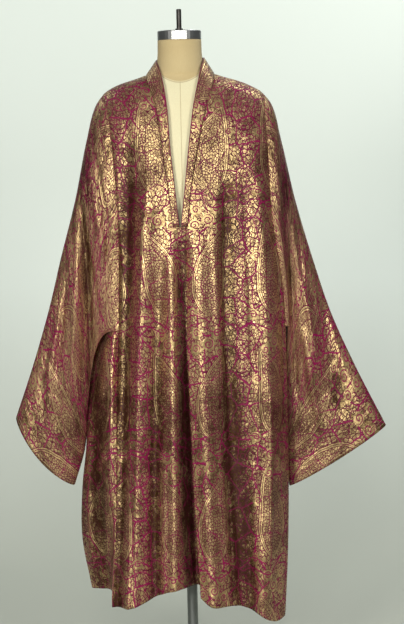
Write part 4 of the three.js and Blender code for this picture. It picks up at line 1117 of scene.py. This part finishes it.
def enamel():
    """Semi-matt dark enamel on the base, dusty and rubbed at the rim."""
    s = Shader("base_enamel")
    place = s.object_place()
    x, y, z = s.split(place)
    rim = s.line(radius(s, x, y, 0, 0) - 0.213, 0.008) * s.noise(place, 120.0, 3.0)
    dust = s.noise(place, 8.0, 5.0)
    orange_peel = s.noise(place, 600.0, 2.0)
    tone = s.mix_colour(dust * 0.5, colour(40, 41, 44), colour(78, 78, 78))
    return s.surface(**{
        "Base Color": s.mix_colour(rim, tone, colour(140, 138, 134)),
        "Metallic": 0.15,
        "Roughness": dust * 0.25 + 0.38,
        "Coat Weight": 0.15,
        "Normal": s.bump(orange_peel, 0.0002, 0.3),
    })


def backdrop():
    """A pale studio sweep, with painted shade darkening it towards the floor."""
    s = Shader("studio_sweep")
    place = s.object_place()
    height = s.split(place)[2]
    tone = s.mix_colour(s.noise(place, 0.8, 2.0), colour(214, 222, 214), colour(222, 229, 222))
    # Painted shade: the sweep darkens below 0.8 m towards the floor
    tone = s.mix_colour((1 - height / 0.8).clipped() * 0.75, tone, colour(180, 182, 170))
    return s.surface(**{"Base Color": tone, "Roughness": 0.9})


# The robe's pieces
left_front, left_front_rise = front_grid(
    LEFT_INNER, LEFT_LAP, LEFT_OUTER, LEFT_FOLDS, LEFT_CREASES, LEFT_HEM, 1)
right_front, right_front_rise = front_grid(
    RIGHT_INNER, RIGHT_LAP, RIGHT_OUTER, RIGHT_FOLDS, RIGHT_CREASES, RIGHT_HEM, 2)
back, back_rise = back_grid()
left_gore, left_gore_rise = gore_grid(LEFT_GORE, GORE_HEM_LEFT, left_front[UNDERARM_ROW:, -1],
                                      back[UNDERARM_ROW:, 0], GORE_CREASES)
right_gore, right_gore_rise = gore_grid(RIGHT_GORE, GORE_HEM_RIGHT, right_front[UNDERARM_ROW:, -1],
                                        back[UNDERARM_ROW:, -1], GORE_CREASES)
upper = slice(0, UNDERARM_ROW + 1)
left_sleeve, left_sleeve_rise = sleeve_grid(
    LEFT_SLEEVE, LEFT_SLEEVE_FOLDS, LEFT_SLEEVE_CREASES, CUFF_BOW_LEFT, -1, 3,
    left_front[upper, -1], left_gore[0], back[upper, 0])
right_sleeve, right_sleeve_rise = sleeve_grid(
    RIGHT_SLEEVE, RIGHT_SLEEVE_FOLDS, RIGHT_SLEEVE_CREASES, CUFF_BOW_RIGHT, 1, 4,
    right_front[upper, -1], right_gore[0], back[upper, -1])
band, band_rise = band_grid(left_front, back, right_front)


def piece(name, grid, trough, flip, seams, weave="body", closed_loop=False, anchor=0):
    return {"name": name, "grid": grid, "trough": trough, "flip": flip, "seams": seams, "weave": weave,
            "closed_loop": closed_loop, "anchor": anchor,
            "normals": grid_normals(grid, flip, closed_loop)}


body_seams = ("top", "left", "right")
robe = [
    piece("back", back, back_rise, -1, body_seams, anchor=RIDGE_COLUMNS + NAPE_COLUMNS // 2),
    piece("front_left", left_front, left_front_rise, -1, body_seams),
    piece("front_right", right_front, right_front_rise, 1, body_seams),
    piece("side_gore_left", left_gore, left_gore_rise, -1, body_seams),
    piece("side_gore_right", right_gore, right_gore_rise, 1, body_seams),
    piece("sleeve_left", left_sleeve, left_sleeve_rise, 1, ("top",), "sleeve", True),
    piece("sleeve_right", right_sleeve, right_sleeve_rise, -1, ("top",), "sleeve", True),
    piece("neckband", band, band_rise, -1, ("left",), "band"),
]
share_seam_normals(robe)

brocade_face, brocade_back = brocade(), brocade_reverse()


def cord_mesh(name, path, thickness, sides=8):
    """A round cord along a line of points, closed at both ends."""
    path = np.array(path)
    along = np.gradient(path, axis=0)
    along = along / np.linalg.norm(along, axis=1, keepdims=True)
    side = np.cross(along[0], (0.0, 1.0, 0.0))
    rings = []
    for point, direction in zip(path, along):
        side = side - direction * np.dot(side, direction)
        side = side / np.linalg.norm(side)
        other = np.cross(direction, side)
        turn = 2 * np.pi * np.arange(sides)[:, None] / sides
        rings.append(point + (np.cos(turn) * side + np.sin(turn) * other) * thickness / 2)
    points = np.concatenate(rings)
    index = np.arange(len(points)).reshape(-1, sides)
    after = np.roll(index, -1, axis=1)
    quads = strip(index[:-1], after[:-1], after[1:], index[1:])
    ends = [index[0][::-1].tolist(), index[-1].tolist()]
    mesh = bpy.data.meshes.new(name)
    mesh.from_pydata((points * MM).tolist(), [], quads.tolist() + ends)
    mesh.polygons.foreach_set("use_smooth", [True] * len(quads) + [False, False])
    return mesh


def on_cloth(node, rows, columns, lift=0.2):
    """A line of places just over a piece's outer face."""
    chosen = next(item for item in robe if item["name"] == node)
    return chosen["grid"][rows, columns] + chosen["normals"][rows, columns] * lift


# Crimson piping round the neckband's free edge, with a tail that turns in at the foot of the V
PIPING_THICKNESS = 2.6
TAIL_STEPS = 9
tail_rows = CLOSING_ROW + np.round(2 * np.sin(np.linspace(0, np.pi, TAIL_STEPS)) - 1).astype(int)
band_edge = on_cloth("neckband", slice(None), -1, -CLOTH_WALL / 2)
tail = on_cloth("front_right", tail_rows, np.arange(1, TAIL_STEPS + 1) * 2, 0.8)
piping_cord = cord_mesh("neckband_piping", np.concatenate((band_edge, tail)), PIPING_THICKNESS)
piping = show("neckband_piping", piping_cord, silk("piping_silk", colour(132, 20, 56)))
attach(piping, "root")


def stitch_rows(name, lines, step, size, thread):
    """Rows of small stitches along lines, made by Geometry Nodes and kept as a plain mesh."""
    tree = bpy.data.node_groups.new(name + "_tree", "GeometryNodeTree")
    tree.interface.new_socket("Seam lines", in_out="INPUT", socket_type="NodeSocketGeometry")
    spacing = tree.interface.new_socket("Stitch step", in_out="INPUT", socket_type="NodeSocketFloat")
    tree.interface.new_socket("Stitches", in_out="OUTPUT", socket_type="NodeSocketGeometry")
    g = Nodes(tree)
    given = g.node("NodeGroupInput")
    curves = g.node("GeometryNodeMeshToCurve", None, Mesh=given.outputs["Seam lines"])
    places = g.node("GeometryNodeResampleCurve", {"mode": "LENGTH"}, Curve=curves.outputs[0],
                    Length=given.outputs["Stitch step"])
    bead = g.node("GeometryNodeMeshIcoSphere", None, Radius=MM, Subdivisions=1)
    stitch = g.node("GeometryNodeTransform", None, Geometry=bead.outputs[0], Scale=size)
    tangent = g.node("GeometryNodeInputTangent").outputs[0]
    lie = g.node("FunctionNodeAlignRotationToVector", {"axis": "Z"}, Vector=tangent)
    uneven = g.node("FunctionNodeRandomValue", {"data_type": "FLOAT"}, _2=0.8, _3=1.1, _8=7)
    laid = g.node("GeometryNodeInstanceOnPoints", None, Points=places.outputs[0],
                  Instance=stitch.outputs[0], Rotation=lie.outputs[0], Scale=uneven.outputs[1])
    real = g.node("GeometryNodeRealizeInstances", None, Geometry=laid.outputs[0])
    dressed = g.node("GeometryNodeSetMaterial", None, Geometry=real.outputs[0], Material=thread)
    g.node("NodeGroupOutput", None, _0=dressed.outputs[0])
    points, edges = [], []
    for line in lines:
        first = len(points)
        points += (line * MM).tolist()
        edges += [(first + i, first + i + 1) for i in range(len(line) - 1)]
    guide = bpy.data.meshes.new(name + "_lines")
    guide.from_pydata(points, edges, [])
    carrier = show(name + "_carrier", guide)
    modifier = carrier.modifiers.new("stitches", "NODES")
    modifier.node_group = tree
    modifier[spacing.identifier] = step
    seen = carrier.evaluated_get(bpy.context.evaluated_depsgraph_get())
    mesh = bpy.data.meshes.new_from_object(seen)
    carrier.modifiers.remove(modifier)
    bpy.data.objects.remove(carrier)
    stitches = show(name, mesh)
    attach(stitches, "root")
    return stitches


HEM_ROW, CUFF_ROW, GOLD_ROW = -4, -4, -2
hems = [on_cloth(node, HEM_ROW, slice(None)) for node in
        ("front_left", "front_right", "back", "side_gore_left", "side_gore_right")]
cuffs = [on_cloth(node, CUFF_ROW, slice(None)) for node in ("sleeve_left", "sleeve_right")]
band_rows = [on_cloth("neckband", slice(None), column) for column in (1, -3)]
seam_stitches = stitch_rows("seam_stitches", hems + cuffs + band_rows, 0.0065, (0.34, 0.34, 1.6),
                            silk("sewing_silk", colour(96, 40, 44)))
cuff_lines = [on_cloth(node, row, slice(None)) for node in ("sleeve_left", "sleeve_right")
              for row in (GOLD_ROW, GOLD_ROW - 1)]
cuff_gold = stitch_rows("cuff_gold_stitches", cuff_lines, 0.0034, (0.42, 0.42, 1.8),
                        silk("gold_thread", colour(206, 184, 138)))

shells = {}
for part in robe:
    shell = show(part["name"] + "_cloth", cloth_mesh(part), brocade_face, brocade_back)
    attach(shell, "root")
    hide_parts(part["name"])
    shells[part["name"]] = shell

# The dress form: rings from the neck down, the solid's own and finer
FORM = table(
    "z half front rear square",
    (1529, 52, 51, 51, 2.0), (1500, 52.5, 52, 53, 2.0), (1480, 54, 53, 55, 2.0), (1464, 56, 54, 57, 2.0),
    (1453, 62, 54, 60, 1.95), (1444.9, 82, 52, 62, 1.7), (1436.9, 104, 54, 67, 1.75),
    (1428.9, 131, 57, 72, 1.8), (1420.8, 151, 61, 77, 1.85), (1411, 165, 66, 82, 1.95),
    (1399, 172, 71, 87, 2.0), (1375, 174, 80, 92, 2.1), (1335, 168, 90, 100, 2.1),
    (1280, 156, 101, 105, 2.1), (1200, 148, 108, 104, 2.1), (1120, 136, 103, 94, 2.1),
    (1040, 122, 92, 84, 2.1), (960, 134, 92, 88, 2.1), (870, 150, 98, 92, 2.1), (800, 152, 98, 90, 2.1),
)
FORM_SIDES = 120
FORM_RINGS_BETWEEN = 6


def form_mesh():
    """The linen-covered torso and neck."""
    tops = FORM["z"]
    levels = [mix(a, b, i / FORM_RINGS_BETWEEN) for a, b in zip(tops[:-1], tops[1:])
              for i in range(FORM_RINGS_BETWEEN)] + [tops[-1]]
    z = np.array(levels)[:, None]
    angle = (2 * np.pi * np.arange(FORM_SIDES) / FORM_SIDES)[None, :]
    square = read(FORM, "square", z)
    across = np.sign(np.sin(angle)) * np.abs(np.sin(angle)) ** (2 / square)
    deep = np.sign(np.cos(angle)) * np.abs(np.cos(angle)) ** (2 / square)
    depth = np.where(deep > 0, read(FORM, "front", z), read(FORM, "rear", z))
    grid = np.stack((read(FORM, "half", z) * across, -depth * deep, z + 0 * across), axis=-1)
    points = np.concatenate((grid.reshape(-1, 3), [(0, 0, tops[0]), (0, 0, tops[-1])]))
    index = np.arange(len(points) - 2).reshape(len(levels), FORM_SIDES)
    after = np.roll(index, -1, axis=1)
    quads = strip(index[:-1], index[1:], after[1:], after[:-1]).tolist()
    top, foot = len(points) - 2, len(points) - 1
    quads += [(top, a, b) for a, b in zip(index[0].tolist(), after[0].tolist())]
    quads += [(foot, b, a) for a, b in zip(index[-1].tolist(), after[-1].tolist())]
    mesh = bpy.data.meshes.new("form_linen")
    mesh.from_pydata((points * MM).tolist(), [], quads)
    mesh.polygons.foreach_set("use_smooth", [len(q) == 4 for q in quads])
    return mesh


form = show("form_linen", form_mesh(), linen())
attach(form, "root")
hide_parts("form_bust")

# The stand's pieces keep their solids and get their finishes
finishes = {
    "neck_cap": metal("cap_metal", colour(196, 198, 198), 0.28, turned=True),
    "finial_rod": metal("rod_metal", colour(74, 72, 70), 0.35, turned=False),
    "stand_pole": metal("pole_metal", colour(150, 154, 152), 0.26, turned=False),
    "stand_base": enamel(),
}
for node, material in finishes.items():
    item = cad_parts[node]
    item.data.materials.clear()
    item.data.materials.append(material)

# The studio: a floor that sweeps up behind, soft lights and the camera
SWEEP_FRONT, SWEEP_BACK, SWEEP_HALF, SWEEP_TOP, SWEEP_RADIUS = -1.5, 2.4, 1.6, 4.5, 1.2


def sweep_mesh():
    """A floor with a quarter-round into a back wall."""
    bend = [(SWEEP_BACK - SWEEP_RADIUS + SWEEP_RADIUS * math.sin(a), SWEEP_RADIUS * (1 - math.cos(a)))
            for a in np.linspace(0, math.pi / 2, 24)]
    profile = [(SWEEP_FRONT, 0.0), *bend, (SWEEP_BACK, SWEEP_TOP)]
    points = [(x, y, z) for y, z in profile for x in (-SWEEP_HALF, SWEEP_HALF)]
    faces = [(2 * i, 2 * i + 1, 2 * i + 3, 2 * i + 2) for i in range(len(profile) - 1)]
    mesh = bpy.data.meshes.new("studio_sweep")
    mesh.from_pydata(points, [], faces)
    mesh.polygons.foreach_set("use_smooth", [True] * len(faces))
    return mesh


studio = show("studio_sweep", sweep_mesh(), backdrop())

world = bpy.data.worlds.new("studio_air")
bpy.context.scene.world = world
world.use_nodes = True
world.node_tree.nodes["Background"].inputs["Color"].default_value = (0.80, 0.86, 0.84, 1)
world.node_tree.nodes["Background"].inputs["Strength"].default_value = 0.05


def soft_light(name, place, target, width, height, power, tone=(1, 1, 1)):
    """A large rectangular light aimed at a point."""
    data = bpy.data.lights.new(name, "AREA")
    data.shape, data.size, data.size_y = "RECTANGLE", width, height
    data.energy, data.color = power, tone
    light = bpy.data.objects.new(name, data)
    bpy.context.scene.collection.objects.link(light)
    light.location = place
    light.rotation_euler = (Vector(target) - Vector(place)).to_track_quat("-Z", "Y").to_euler()


CHEST = (0.0, 0.0, 0.9)
soft_light("left_softbox", (-1.7, -4.5, 1.8), CHEST, 0.9, 1.4, 112, (1.0, 0.97, 0.91))
soft_light("right_softbox", (1.9, -4.4, 1.9), CHEST, 0.9, 1.4, 76, (1.0, 0.98, 0.93))
soft_light("front_softbox", (-0.3, -5.2, 2.3), CHEST, 1.0, 0.8, 62, (1.0, 0.97, 0.92))
soft_light("backdrop_wash", (1.5, 0.7, 3.0), (1.1, 2.4, 1.3), 1.8, 0.6, 50, (0.98, 1.0, 1.0))
soft_light("backdrop_left", (-1.6, 0.9, 2.6), (-0.9, 2.4, 1.0), 1.4, 0.5, 18, (0.97, 1.0, 0.98))

# The camera stands five metres off at chest height and leans as the photo does
CAMERA_PLACE = (0.039, -5.0, 1.290)
CAMERA_DROP = 0.410
CAMERA_LEAN = math.radians(1.31)
FOCAL_PIXELS = 2090
LONG_SIDE_PIXELS = 624
camera_data = bpy.data.cameras.new("photo_camera")
camera = bpy.data.objects.new("photo_camera", camera_data)
bpy.context.scene.collection.objects.link(camera)
camera_data.sensor_width = 36
camera_data.lens = FOCAL_PIXELS / LONG_SIDE_PIXELS * camera_data.sensor_width
looking = Vector((0, -CAMERA_PLACE[1], -CAMERA_DROP)).to_track_quat("-Z", "Y").to_matrix()
leaning = looking @ Matrix.Rotation(-CAMERA_LEAN, 3, "Z")
camera.matrix_world = Matrix.Translation(CAMERA_PLACE) @ leaning.to_4x4()
bpy.context.scene.camera = camera
bpy.context.scene.view_settings.view_transform = "Standard"

bpy.context.view_layer.update()
